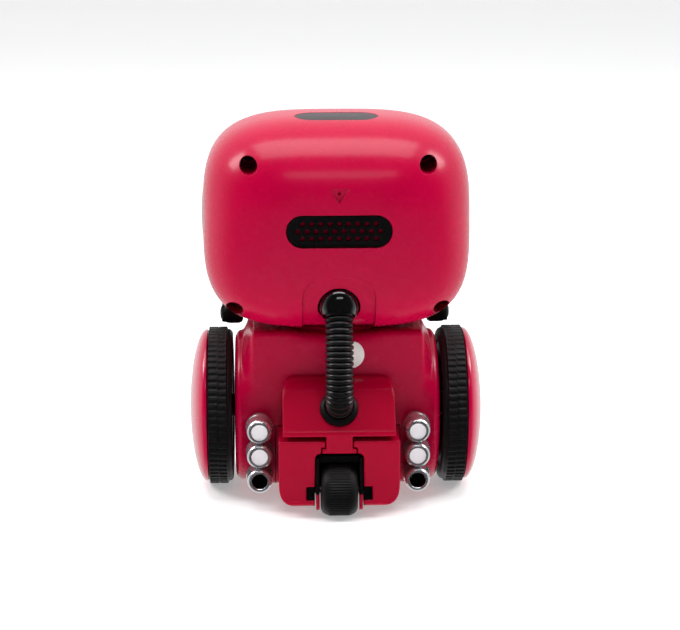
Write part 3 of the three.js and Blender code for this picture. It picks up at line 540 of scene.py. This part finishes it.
def true_normals(obj):
    """Gives the outer skin the exact normals of the rounded box, so that cuts leave no ripples."""
    mesh = obj.data
    mesh.shade_smooth()
    mesh.set_sharp_from_angle(angle=math.radians(35))
    count = len(mesh.vertices)
    points = np.empty(count * 3)
    mesh.vertices.foreach_get("co", points)
    points = points.reshape(-1, 3)
    tolerance = 0.0012
    skin = np.abs(head_level(points) - 1) < tolerance
    exact = head_normals(points)
    corners = np.zeros((len(mesh.loops), 3))
    for polygon in mesh.polygons:
        vertices = list(polygon.vertices)
        facing = np.array(polygon.normal)
        if skin[vertices].all() and (exact[vertices] @ facing > 0.9).all():
            corners[list(polygon.loop_indices)] = exact[vertices]
    mesh.normals_split_custom_set([tuple(c) for c in corners])


BALL_CENTRE = (0, -33, 67.4)
BALL_RADIUS = 6.2
BALL_GAP = 0.35
SCOOP = [(-10.9, 40), (10.9, 40), (10.9, 76, 7), (-10.9, 76, 7)]
TRIANGLE = [(-3.1, 103, 0.5), (0, 98.4, 0.5), (3.1, 103, 0.5)]


def sphere(name, radius, centre, around=48):
    profile = [(radius * math.sin(math.pi * i / 24), radius * math.cos(math.pi * i / 24))
               for i in range(25)]
    profile[0] = (0.001, radius)
    profile[-1] = (0.001, -radius)
    return revolve(name, profile, "z", centre, around, closed=False)


def touch_outline(grow):
    width, height = 25 + 2 * grow, 11 + 2 * grow
    return [Vector((p[0], p[1])) for p in stadium(width, height, -9.5)]


def head_shells():
    around, up = fineness((224, 144))
    shell = head_solid("head_shell", 0, around, up)
    seats = [rod("post", "y", 3.9, -31, 0, (x, 0, z)) for x, z in SCREWS]
    seats += [rod("ear_seat", "x", 12.1, side * 33.4, side * 41, EAR_CENTRE) for side in (-1, 1)]
    seats.append(prism("grille_seat", stadium(34, 12.5, GRILLE_Z), "y", -36.6, -33))
    scoop_back = prism("scoop_seat", rounded([(-12.3, 40), (12.3, 40), (12.3, 77.6, 5),
                                              (-12.3, 77.6, 5)]), "y", -FAR, -14)
    common(scoop_back, head_solid("trim", 0.9, 96, 64))
    seats.append(cut(scoop_back, head_solid("trim", 3.6, 64, 48)))
    seats.append(prism("touch_seat", touch_outline(1.5), "z", 115.5, 118.4))
    cut(shell, head_solid("inside", HEAD_WALL, 96, 64))
    for seat in seats:
        if not seat.name.startswith("scoop"):
            common(seat, head_solid("trim", 1.0, 96, 64))
        join(shell, seat)
    scoop = prism("scoop", rounded(SCOOP, 10), "y", -FAR, -14)
    cut(scoop, head_solid("trim", 0.6, around, up))
    mic_y = head_back_y(0, 101)
    tools = [
        scoop,
        sphere("ball_pocket", BALL_RADIUS + BALL_GAP, BALL_CENTRE),
        prism("grille_recess", stadium(31.3, 9.8, GRILLE_Z), "y", -FAR, -34.6),
        prism("mic_recess", rounded(TRIANGLE, 4), "y", -FAR, mic_y + 0.55),
        rod("mic_hole", "y", 0.45, mic_y - 3, mic_y + 1.6, (0, 0, 101.3), 24),
        prism("touch_recess", touch_outline(0.12), "z", 118.6, 130),
        prism("visor_opening", rectangle(-31.25, 31.25, 70.75, 108.25, 13, 12), "y", 14, FAR),
        rod("neck_hole", "z", 5.9, 50, 62),
    ]
    tools += [rod("screw_hole", "y", 2.65, -FAR, -8, (x, 0, z), 64) for x, z in SCREWS]
    tools += [rod("ear_pocket", "x", 10.65, side * 35.5, side * 55, EAR_CENTRE, 96)
              for side in (-1, 1)]
    cut(shell, *tools)
    front = copy_of(shell, "head_front")
    cut(shell, box("half", -FAR, FAR, SEAM_Y - SEAM_HALF, FAR, 0, 200))
    cut(front, box("half", -FAR, FAR, -FAR, SEAM_Y + SEAM_HALF, 0, 200))
    shell.name = "head_back"
    for obj, node in ((shell, "head_rear_shell"), (front, "head_front_shell")):
        true_normals(obj)
        piece(obj, "head", RED_EDGED, "red_shell", node, shaded=False)
        # The pocket's wall is painted black: painted shade round the ball. The margin takes in its
        # facets and nothing outside it.
        margin = 0.02
        repaint(obj, lambda p: (p - Vector(BALL_CENTRE)).length < BALL_RADIUS + BALL_GAP + margin)


def face_and_touch():
    around, up = fineness((224, 144))
    visor = head_solid("visor", 0.05, around, up)
    cut(visor, head_solid("inside", 1.9, 96, 64))
    common(visor, prism("window", rectangle(-31, 31, 71, 108, 13, 12), "y", 14, FAR))
    cut(visor, *[rod("eye_hole", "y", 7.4, 0, FAR, (side * EYE_X, 0, EYE_Z)) for side in (-1, 1)])
    piece(visor, "head", GLOSS, "gloss_black", "face_visor", angle=35)
    for side, label in ((-1, "left"), (1, "right")):
        ring = [(3.2, 27.5), (7.1, 27.5), (7.1, 30.2), (6.9, 30.7), (6.4, 31.0), (5.2, 30.9),
                (3.6, 30.5), (3.2, 30.2)]
        made = revolve(f"eye_{label}", ring, "y", (side * EYE_X, 0, EYE_Z), 96)
        piece(made, "head", EYE, "eye_light", f"eye_ring_{label}", angle=50)
        cap = [(0.001, 35.7), (10.5, 35.7), (10.5, 39.3), (10.3, 39.9), (9.8, 40.5), (8.9, 41.0),
               (7.6, 41.4), (5.8, 41.65), (5.4, 41.68), (5.2, 41.6), (5.0, 41.68), (3.0, 41.78),
               (0.001, 41.8)]
        made = revolve(f"ear_{label}", [(r, side * x) for r, x in cap], "x", EAR_CENTRE, 128,
                       closed=False)
        piece(made, "head", GLOSS, "gloss_black", f"ear_cap_{label}", angle=60)
    touch = prism("touch", touch_outline(0), "z", 118.7, 130)
    common(touch, head_solid("trim", 0.08, around, up))
    piece(touch, "head", TOUCH, "gloss_black", "touch_panel", angle=35)


def grille():
    plate = prism("grille", stadium(30.8, 9.3, GRILLE_Z, 32), "y", -37.5, -35.9)
    holes = []
    for row in (-1, 0, 1):
        count = 10 if row == 0 else 9
        for i in range(count):
            x = (i - (count - 1) / 2) * 2.7
            holes.append(rod("hole", "y", 0.78, -39, -34, (x, 0, GRILLE_Z + row * 2.2), 16))
    cut(plate, merged("holes", holes))
    rounding = plate.modifiers.new("rounding", "BEVEL")
    rounding.width = 0.14
    rounding.segments = 2
    rounding.limit_method = "ANGLE"
    rounding.angle_limit = math.radians(50)
    bake(plate)
    piece(plate, "head", BLACK_AND_SHADE, "black_plastic", "speaker_grille", angle=30)


def merged(name, objects):
    """One object that holds several separate shells."""
    points, faces, base = [], [], 0
    for obj in objects:
        points += [v.co.copy() for v in obj.data.vertices]
        faces += [[base + i for i in p.vertices] for p in obj.data.polygons]
        base = len(points)
        bpy.data.objects.remove(obj)
    return mesh_object(name, points, faces)


def tilt(obj, angle, position):
    obj.data.transform(Matrix.Translation(position) @ Matrix.Rotation(angle, 4, "X"))
    return obj


def ball():
    profile = [(0.001, BALL_RADIUS)]
    for i in range(1, 25):
        angle = math.pi / 2 - (i / 24) * (math.pi / 2 + 0.5)
        profile.append((BALL_RADIUS * math.cos(angle), BALL_RADIUS * math.sin(angle)))
        if i == 9:
            profile.append((BALL_RADIUS * math.cos(angle) + 0.02,
                            BALL_RADIUS * math.sin(angle) - 0.1))
    profile += [(5.3, -3.4), (5.1, -3.8), (4.9, -3.8), (4.8, -3.4), (4.7, -1.8), (0.001, -1.8)]
    made = revolve("hose_joint", profile, "z", (0, 0, 0), 96, closed=False)
    tilt(made, -0.5, BALL_CENTRE)
    piece(made, "head", GLOSS, "gloss_black", "hose_ball", angle=50)


# ------------------------------------------------------------------ hose

HOSE_ROUTE = [(-34.3, 65.0), (-36.7, 59.8), (-38.1, 53.2), (-38.9, 46.8), (-38.9, 41.8),
              (-37.4, 37.9), (-34.15, 35.4)]
HOSE_RINGS = 20
HOSE_VALLEY = 3.45
HOSE_RING_HEIGHT = 0.85
HOSE_TAPER = 0.35


def hose_line(count):
    """The hose's centre line, evenly spaced, with its start and end directions kept."""
    route = [Vector((0, y, z)) for y, z in HOSE_ROUTE]
    route = [route[0] * 2 - route[1], *route, route[-1] * 2 - route[-2]]
    fine = []
    for i in range(1, len(route) - 2):
        a, b, c, d = route[i - 1:i + 3]
        for k in range(60):
            t = k / 60
            fine.append(0.5 * ((2 * b) + (c - a) * t + (2 * a - 5 * b + 4 * c - d) * t ** 2
                               + (3 * b - a - 3 * c + d) * t ** 3))
    fine.append(route[-2])
    lengths = [0.0]
    for a, b in zip(fine, fine[1:]):
        lengths.append(lengths[-1] + (b - a).length)
    wanted = np.linspace(0, lengths[-1], count)
    ys = np.interp(wanted, lengths, [p.y for p in fine])
    zs = np.interp(wanted, lengths, [p.z for p in fine])
    return [Vector((0, y, z)) for y, z in zip(ys, zs)]


def hose():
    per_ring, around = 12, 56
    rows = HOSE_RINGS * per_ring + 1
    line = hose_line(rows)
    points = []
    for row, centre in enumerate(line):
        ahead = (line[min(row + 1, rows - 1)] - line[max(row - 1, 0)]).normalized()
        across = Vector((0, ahead.z, -ahead.y))
        phase = (row % per_ring) / per_ring
        swell = max(0.0, math.sin(math.pi * phase)) ** 0.55
        share = row / (rows - 1)
        radius = HOSE_VALLEY + HOSE_RING_HEIGHT * swell - HOSE_TAPER * ease(share, 0.8, 1)
        for i in range(around):
            angle = 2 * math.pi * i / around
            points.append(centre + Vector((radius * math.cos(angle), 0, 0))
                          + across * radius * math.sin(angle))
    made = tidy(mesh_object("hose", points, ring_faces(rows, around, closed=False)))
    piece(made, None, HOSE, "hose", "corrugated_hose", angle=60)
    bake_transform(made)


PACK_BACK, PACK_CREST = -38, -27
PACK_LIP, PACK_TOP = 28.6, 42.4
FACE_TILT = math.atan2(PACK_TOP - PACK_LIP, PACK_CREST - PACK_BACK) - math.pi / 2
COLLAR_CENTRE = (0, -33.1, 34.7)


def collar():
    profile = [(4.15, -2.3), (4.3, -2.55), (4.6, -2.6), (5.1, -2.3), (5.6, -1.7), (5.8, -1.1),
               (5.8, -0.35), (3.3, -0.3), (3.3, 2.3), (2.6, 2.3), (2.6, -0.9), (4.15, -0.9)]
    made = revolve("collar", profile, "y", (0, 0, 0), 96)
    tilt(made, FACE_TILT, COLLAR_CENTRE)
    piece(made, "torso", BLACK_AND_SHADE, "black_plastic", "hose_collar", angle=50)


# ------------------------------------------------------------------ torso

TORSO = [(-22, 56.1, 2), (-22, 24, 5), (-20.6, 13, 4), (-15.5, 5, 2.5), (15.5, 5, 2.5),
         (20.6, 13, 4), (22, 24, 5), (22, 56.1, 2)]
POD_RADIUS = 23.9
POD_X = 29.6
POD_EDGE = [(POD_X, POD_RADIUS), (30.3, 23.7), (30.9, 23.2), (31.3, 22.5), (31.6, 21.5)]


def torso_shape():
    """Round each wheel pod the side view of the torso turns into a circle, in one smooth flare."""
    outline = rounded(TORSO, 12)
    fine = []
    for k in range(len(outline)):
        a, b = outline[k], outline[(k + 1) % len(outline)]
        pieces = max(1, round((b - a).length / 0.8))
        fine += [a.lerp(b, i / pieces) for i in range(pieces)]
    angles = np.array([math.atan2(p.y - AXLE_Z, p.x) for p in fine])
    flat = np.array([math.hypot(p.x, p.y - AXLE_Z) for p in fine])
    upper = ease(flat, 23, 28)
    begins = 22.5 + 3 * upper
    stations = [0, 4, 8, 10, 12, 14, 16, 18, 20, 21.5, *np.arange(22.5, POD_X, 0.25), POD_X]
    half = []
    for x in stations:
        t = np.clip((x - begins) / (POD_X - begins), 0, 1)
        share = t ** 2 * (1 - upper) + t * t * (3 - 2 * t) * upper
        radius = flat * (1 - share) + POD_RADIUS * share
        # The top edge sinks a little towards the middle, under the head.
        dip = 1.5 * (1 - ease(x, 6, 18)) * ease(flat * np.sin(angles) + AXLE_Z, 52, 56.1)
        half.append((x, radius - dip * np.maximum(np.sin(angles), 0)))
    for x, rim in POD_EDGE[1:]:
        half.append((x, np.full(len(angles), rim)))
    rows = [(-x, radius) for x, radius in half[:0:-1]] + half
    points = []
    for x, radius in rows:
        points += [(x, r * math.cos(a), AXLE_Z + r * math.sin(a)) for r, a in zip(radius, angles)]
    faces = ring_faces(len(rows), len(angles), closed=False)
    body = tidy(mesh_object("torso_shape", points, faces))
    cut(body, *[rod("pod_end", "x", 20.6, side * 29.4, side * 40, (0, 0, AXLE_Z), 128)
                for side in (-1, 1)])
    join(body, *[rod("boss", "x", 1.9, side * 22.5, side * 28.5, (0, SHOULDER_Y, SHOULDER_Z))
                 for side in (-1, 1)])
    return cut(body, rod("neck_well", "z", 17.8, 50.5, 60, (0, 0, 0), 128))


def torso():
    body = torso_shape()
    base = copy_of(body, "body_base")
    front = copy_of(body, "body_front")
    region = box("region", -19.35, 19.35, -FAR, -11, 0, 26.35)
    cut(body, region, box("half", -FAR, FAR, SEAM_HALF, FAR, 0, FAR),
        box("floor", -24.5, 24.5, -15.2, 15.2, 0, 7.7))
    cut(front, box("half", -FAR, FAR, -FAR, -SEAM_HALF, 0, FAR),
        box("floor", -24.5, 24.5, -15.2, 15.2, 0, 7.7))
    keep = join(box("keep", -19.1, 19.1, -FAR, -11.2, 0, 26.1),
                box("keep_floor", -24.3, 24.3, -15, 15, 0, 7.5))
    common(base, keep)
    cut(base, box("door", -23.15, 23.15, -12.75, 12.75, 0, 9))
    body.name = "body_back"
    piece(body, "torso", RED, "red_shell", "body_rear_shell", angle=40)
    piece(front, "torso", RED, "red_shell", "body_front_shell", angle=40)
    piece(base, "torso", RED_BASE, "red_base", "chassis_base", angle=40)
    ring = [(5.6, 50.6), (14.6, 50.6), (14.6, 53.4), (17.4, 53.4), (17.5, 53.8), (17.5, 55.5),
            (17.3, 56.0), (16.8, 56.2), (8.2, 56.2), (8, 56.0), (8, 55.7), (5.6, 55.7)]
    made = revolve("neck_plate", ring, "z", (0, 0, 0), 160)
    piece(made, "torso", RED_BASE, "red_base", "neck_ring", angle=40)
    label = [(0.001, -22.05), (4.35, -22.05), (4.35, -22.25), (4.2, -22.33), (0.001, -22.34)]
    made = revolve("sticker", label, "y", (3.8, 0, 48.8), 96, closed=False)
    piece(made, "torso", STICKER, "sticker", "round_sticker", angle=40)
    for side, name in ((-1, "left"), (1, "right")):
        cover = [(1.65, 29.9), (20.25, 29.9), (20.3, 31.3), (20.1, 31.6), (15.3, 31.6),
                 (15, 31.4), (14.9, 31.1), (1.65, 31.1)]
        made = revolve(f"pod_plate_{name}", [(r, side * x) for r, x in cover], "x",
                       (0, 0, AXLE_Z), 128)
        piece(made, "torso", RED, "red_shell", f"pod_cover_{name}", angle=40)


# ------------------------------------------------------------------ rear pack

ROLLER_Y = -34.5
ROLLER_Z = FLOOR_Z + 8


def pack():
    half, bottom = 17, 27.5
    side_view = [(-20, bottom), (-20, PACK_TOP), (PACK_CREST, PACK_TOP, 5),
                 (PACK_BACK, PACK_LIP, 0.8), (PACK_BACK, bottom)]
    rear_view = [(-half, bottom), (half, bottom), (half, PACK_TOP, 5), (-half, PACK_TOP, 5)]
    upper = prism("pack_upper", rounded(side_view, 12), "x", -half, half)
    common(upper, prism("rear", rounded(rear_view, 12), "y", -FAR, 0))
    join(upper, box("tab", -4, 4, PACK_BACK, -35.4, 22.2, 28.4),
         box("foot", -5.2, 5.2, PACK_BACK, -35.4, 22.2, 23.7))
    pocket = tilt(rod("pocket", "y", 3.7, -6, 3, (0, 0, 0)), FACE_TILT, COLLAR_CENTRE)
    cut(upper, pocket)
    soften(upper, fineness(0.22), 5)
    piece(upper, "torso", RED_BASE, "red_base", "pack_upper_cover")

    half, bottom, top = 18.3, 4.9, 26.1
    side_view = [(-17, bottom), (-17, top), (PACK_BACK, top, 0.6), (PACK_BACK, bottom, 3)]
    rear_view = [(-half, top), (-half, bottom, 7), (half, bottom, 7), (half, top)]
    lower = prism("pack_lower", rounded(side_view), "x", -half, half)
    common(lower, prism("rear", rounded(rear_view, 12), "y", -FAR, 0))
    well = prism("well", rounded([(-7.4, 0), (7.4, 0), (7.4, 22.2, 2), (-7.4, 22.2, 2)]), "y",
                 -FAR, -24)
    notches = [box("notch", min(s * 7, s * 10), max(s * 7, s * 10), -FAR, -36.4, 7.4, 11.7)
               for s in (-1, 1)]
    cut(lower, well, *notches,
        box("tab_slot", -4.3, 4.3, -FAR, -35, 21, 30),
        box("foot_slot", -5.5, 5.5, -FAR, -35, 21, 24.1),
        box("switch_slot", 11.4, 14.6, -31, -23.4, 0, 9))
    soften(lower, fineness(0.22), 5)
    piece(lower, "torso", RED_BASE, "red_base", "pack_lower_cover")
    # The walls of the wheel well and of the two clip notches are painted black: painted shade in
    # these recesses.
    repaint(lower, lambda p: p.y > -37.5 and (abs(p.x) < 7.9 and p.z < 23.2 or
                                             6.9 < abs(p.x) < 10.3 and 7.2 < p.z < 11.9))

    cheek = [(-38.6, 3.8, 3), (-30, 3.8, 3), (-26, 12, 2), (-26, 20.6), (-37, 20.6, 1),
             (-38.6, 14, 1)]
    fork = prism("fork", rounded(cheek), "x", 6, 7.1)
    join(fork, prism("cheek", rounded(cheek), "x", -7.1, -6),
         box("bridge", -6.5, 6.5, -35, -26, 18.4, 20.6))
    cut(fork, rod("pin_hole", "x", 1.3, -FAR, FAR, (0, ROLLER_Y, ROLLER_Z)))
    soften(fork, fineness(0.18), 2)
    piece(fork, "torso", RED_BASE, "red_base", "rear_wheel_carrier")
    # Above the roller's axle the carrier is painted black: painted shade, where it lies in the dark
    # of the well.
    repaint(fork, lambda p: p.z > 9.5)


def repaint(obj, inside, material=None):
    """Gives the faces whose middle is inside a region, in millimetres, another material; by default
    the black that also serves as painted shade.
    """
    obj.data.materials.append(material or BLACK_AND_SHADE)
    back = TO_FRAME.inverted()
    for polygon in obj.data.polygons:
        if inside(back @ polygon.center):
            polygon.material_index = len(obj.data.materials) - 1


PIPE_X = 24.1
PIPE_HEIGHTS = [27.1 - 7.8 * i for i in range(3)]


def exhausts():
    closed = [(0.001, -31.5), (2.35, -31.5), (2.45, -31.6), (2.5, -31.95), (2.7, -32), (3.0, -32),
              (3.15, -31.92), (3.75, -31.2), (3.82, -30.9), (3.82, -26.9), (3.9, -26.4),
              (4.15, -26.1), (4.2, -25.8), (4.2, -25.2), (4.1, -24.9), (3.6, -24.6), (3.6, -17),
              (0.001, -17)]
    hollow = [(0.001, -25), (2.4, -25), (2.4, -31.8), (2.55, -31.97), *closed[5:]]
    for side, label in ((-1, "left"), (1, "right")):
        pipes = [revolve("pipe", profile, "y", (side * PIPE_X, 0, z), 72, closed=False)
                 for z, profile in zip(PIPE_HEIGHTS, (closed, closed, hollow))]
        made = merged(f"exhausts_{label}", pipes)
        piece(made, "torso", CHROME, "chrome", f"exhaust_pipes_{label}", angle=38)
        *upper, lowest = PIPE_HEIGHTS
        # The bore of the lowest pipe is painted black: painted shade inside the hole.
        repaint(made, lambda p: math.hypot(abs(p.x) - PIPE_X, p.z - lowest) < 2.45 and p.y < -24)
        # The closed ends of the upper pipes get the near-white matte finish, a painted reflection.
        repaint(made, lambda p: p.y < -31.3 and min(math.hypot(abs(p.x) - PIPE_X, p.z - z)
                                                    for z in upper) < 2.42, CAP_PAINTED_REFLECTION)


# ------------------------------------------------------------------ wheels

RIBS = 72
TREAD_INNER, TREAD_MIDDLE, TREAD_OUTER = 34.1, 36.85, 39.75


def tread_depth(angle, x):
    """How far the tread is cut in at a place: cross grooves in two columns, split by a channel."""
    if x < TREAD_INNER or x > TREAD_OUTER:
        return 0.0
    if abs(x - TREAD_MIDDLE) < 0.15:
        return 0.2
    cycle = (angle * RIBS / (2 * math.pi) + (0.0 if x < TREAD_MIDDLE else 0.1)) % 1
    edge = min(1.0, (x - TREAD_INNER) / 0.35, (TREAD_OUTER - x) / 0.15)
    wave = 0.5 - 0.5 * math.cos(2 * math.pi * cycle)
    return 0.45 * edge * min(1.0, max(0.0, wave * 1.7 - 0.75))


def tyre(side, label):
    across = [(20.1, 32.55), (21.8, 32.4), (23.2, 32.5), (23.8, 32.9), (24.05, 33.4), (24.12, 33.9)]
    xs = [34.1, 34.3, 34.5, 35.0, 35.6, 36.1, 36.5, 36.65, 36.75, 36.95, 37.05, 37.2, 37.8, 38.4,
          39.0, 39.5, 39.6, 39.75]
    across += [(24.9 if x > 34.2 else 24.6, x) for x in xs]
    across += [(24.7, 39.83), (24.4, 39.88), (23.9, 39.9), (20.1, 39.9)]
    around = RIBS * fineness(10)
    points = []
    for radius, x in across:
        for i in range(around):
            angle = 2 * math.pi * i / around
            r = radius - tread_depth(angle, x)
            points.append((side * x, r * math.cos(angle), AXLE_Z + r * math.sin(angle)))
    faces = ring_faces(len(across), around, closed=True)
    made = tidy(mesh_object(f"tyre_tread_{label}", points, faces))
    piece(made, f"wheel_{label}", TYRE, "tyre", f"tyre_{label}", angle=38)


def wheel(side, label):
    tyre(side, label)
    hub = [(1.6, 31.9), (3.5, 31.9), (3.7, 32.1), (3.8, 36.4), (4.2, 37.0), (5.0, 37.2),
           (15.0, 37.2), (16.2, 36.6), (17.0, 33.7), (17.4, 33.2), (19.1, 33.0), (19.7, 33.1),
           (19.8, 33.4), (19.8, 39.7), (16, 39.7), (16, 38.6), (1.6, 38.6)]
    made = revolve(f"hub_{label}", [(r, side * x) for r, x in hub], "x", (0, 0, AXLE_Z), 128)
    piece(made, f"wheel_{label}", BLACK_AND_SHADE, "black_plastic", f"wheel_hub_{label}", angle=40)
    dome = [(23.4, 40.2), (24.0, 40.25), (24.1, 40.5)]
    for i in range(33):
        t = i / 32 * math.pi / 2
        dome.append((24.1 * math.cos(t) + 0.001, 40.7 + 5.3 * math.sin(t) ** 1.1))
    dome += [(0.001, 44.3), (12, 43.4), (19.4, 42.0), (22.4, 40.5), (22.6, 40.2)]
    made = revolve(f"dome_{label}", [(r, side * x) for r, x in dome], "x", (0, 0, AXLE_Z), 160)
    piece(made, f"wheel_{label}", DOME, "red_shell", f"dome_cap_{label}", angle=45)


ROLLER_RIBS = 60
ROLLER_RIB_DEPTH = 0.16


def roller():
    across = [(1.4, -5.55), (5.0, -5.6), (6.2, -5.5), (7.0, -5.0), (7.5, -4.3), (7.8, -3.6)]
    across += [(8.0, x) for x in np.linspace(-2.9, 2.9, 12)]
    across += [(7.8, 3.6), (7.5, 4.3), (7.0, 5.0), (6.2, 5.5), (5.0, 5.6), (1.4, 5.55)]
    around = ROLLER_RIBS * 8
    points = []
    for radius, x in across:
        for i in range(around):
            angle = 2 * math.pi * i / around
            rib = 0.0
            if radius > 7.9:
                rib = ROLLER_RIB_DEPTH * (0.5 - 0.5 * math.cos(angle * ROLLER_RIBS))
            r = radius - rib
            points.append((x, ROLLER_Y + r * math.cos(angle), ROLLER_Z + r * math.sin(angle)))
    made = tidy(mesh_object("roller_tread", points, ring_faces(len(across), around, closed=True)))
    piece(made, "roller", TYRE, "tyre", "rear_roller", angle=40)


# ------------------------------------------------------------------ arms


def arm(side, label):
    limb = [(-2, -2.8, 1), (6, -2.8, 3), (20, -7.8, 3), (28, -8.6, 2.4), (28, -3.6, 2.4),
            (20, -2.8, 3), (8, 2.8, 3), (-2, 2.8, 1)]
    outline = [Vector((p[0] + SHOULDER_Y, p[1] + SHOULDER_Z)) for p in rounded(limb)]
    made = prism(f"arm_link_{label}", outline, "x", side * 31.2, side * 35.8)
    shoulder = [(0.001, 29), (2.2, 29.05), (3.0, 29.5), (3.4, 30.3), (3.4, 33.4), (3.2, 34.5),
                (2.6, 35.6), (1.5, 36.3), (0.001, 36.4)]
    join(made, revolve("shoulder", [(r, side * x) for r, x in shoulder], "x",
                       (0, SHOULDER_Y, SHOULDER_Z), 64, closed=False))
    cut(made, box("slot", min(side * 32.8, side * 34.2), max(side * 32.8, side * 34.2), 30, 40,
                  44, 54))
    soften(made, fineness(0.25), 5)
    piece(made, f"arm_{label}", BLACK_AND_SHADE, "black_plastic", f"arm_{label}")


# ------------------------------------------------------------------ assembly

head_shells()
face_and_touch()
grille()
ball()
hose()
collar()
torso()
pack()
exhausts()
roller()
for one_side, one_label in ((-1, "left"), (1, "right")):
    wheel(one_side, one_label)
    arm(one_side, one_label)

# The head screws take the darkened steel: painted shade of their deep holes.
CARRIED_OVER = {
    "axle_": STEEL, "motor_": STEEL, "head_screw_": SCREW_STEEL_SHADED, "rear_roller_axle": STEEL,
    "output_gear_": GEAR, "compound_gear_": GEAR, "gearbox_frame": GEAR, "battery_cell_": CELL,
    "main_circuit_board": BOARD, "battery_door": RED_BASE, "line_sensor_module": BLACK_AND_SHADE,
    "chest_panel": GLOSS, "power_switch_slider": BLACK_AND_SHADE, "speaker_driver": BLACK_AND_SHADE,
    "neck_shaft": BLACK_AND_SHADE,
}
for node_name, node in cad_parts.items():
    for start, look in CARRIED_OVER.items():
        if node_name.startswith(start):
            node.data.materials.clear()
            node.data.materials.append(look)

# ------------------------------------------------------------------ floor and light


def add_stage():
    """A pale floor with a slight light of its own, left out of mirror reflections of the robot."""
    size = 3.0
    floor = mesh_object("floor", [(-size, -size, 0), (size, -size, 0), (size, size, 0),
                                  (-size, size, 0)], [(0, 1, 2, 3)])
    n = Nodes("floor")
    n.set(n.shader, "Base Color", n.blend(n.noise(3), (0.93, 0.93, 0.935), (0.9, 0.9, 0.905)))
    n.set(n.shader, "Roughness", n.remap(n.noise(30), 0.5, 0.6))
    n.set(n.shader, "Emission Color", n.blend(n.noise(3), (1, 1, 1), (0.97, 0.97, 0.97)))
    n.shader.inputs["Emission Strength"].default_value = 0.32
    floor.data.materials.append(n.material)
    floor.visible_glossy = False


def add_light(name, place, aim, size, power, mirrored=True):
    """A soft box. An unmirrored one doesn't show as a bright shape in glossy surfaces."""
    data = bpy.data.lights.new(name, "AREA")
    data.shape = "RECTANGLE"
    data.size, data.size_y = size
    data.energy = power
    lamp = bpy.data.objects.new(name, data)
    lamp.location = place
    lamp.rotation_euler = (Vector(aim) - Vector(place)).to_track_quat("-Z", "Y").to_euler()
    lamp.visible_glossy = mirrored
    bpy.context.scene.collection.objects.link(lamp)


def add_world():
    """A white studio that is darker on the camera's side."""
    world = bpy.data.worlds.new("studio")
    world.use_nodes = True
    tree = world.node_tree
    background = tree.nodes["Background"]
    background.inputs["Color"].default_value = (1, 1, 1, 1)
    coords = tree.nodes.new("ShaderNodeTexCoord")
    split = tree.nodes.new("ShaderNodeSeparateXYZ")
    shade = tree.nodes.new("ShaderNodeMapRange")
    shade.interpolation_type = "SMOOTHSTEP"
    for key, number in (("From Min", -0.4), ("From Max", 0.3), ("To Min", 0.02), ("To Max", 0.95)):
        shade.inputs[key].default_value = number
    tree.links.new(coords.outputs["Generated"], split.inputs["Vector"])
    tree.links.new(split.outputs["Y"], shade.inputs["Value"])
    tree.links.new(shade.outputs["Result"], background.inputs["Strength"])
    bpy.context.scene.world = world


add_stage()
add_world()
# Standard keeps the red as saturated as the object's. The default transform makes it paler.
bpy.context.scene.view_settings.view_transform = "Standard"
add_light("top", (0.0, 0.0, 0.75), (0, 0, 0.06), (0.7, 0.4), 5.2)
add_light("left", (-0.6, 0.04, 0.58), (0, 0, 0.08), (0.22, 0.3), 3.0)
add_light("right", (0.6, 0.04, 0.58), (0, 0, 0.08), (0.22, 0.3), 3.0)
add_light("key", (0.04, -0.52, 0.58), (0, 0, 0.07), (0.42, 0.12), 0.5)
add_light("fill", (0.0, -1.1, 0.25), (0, 0, 0.06), (0.5, 0.4), 1.6, mirrored=False)
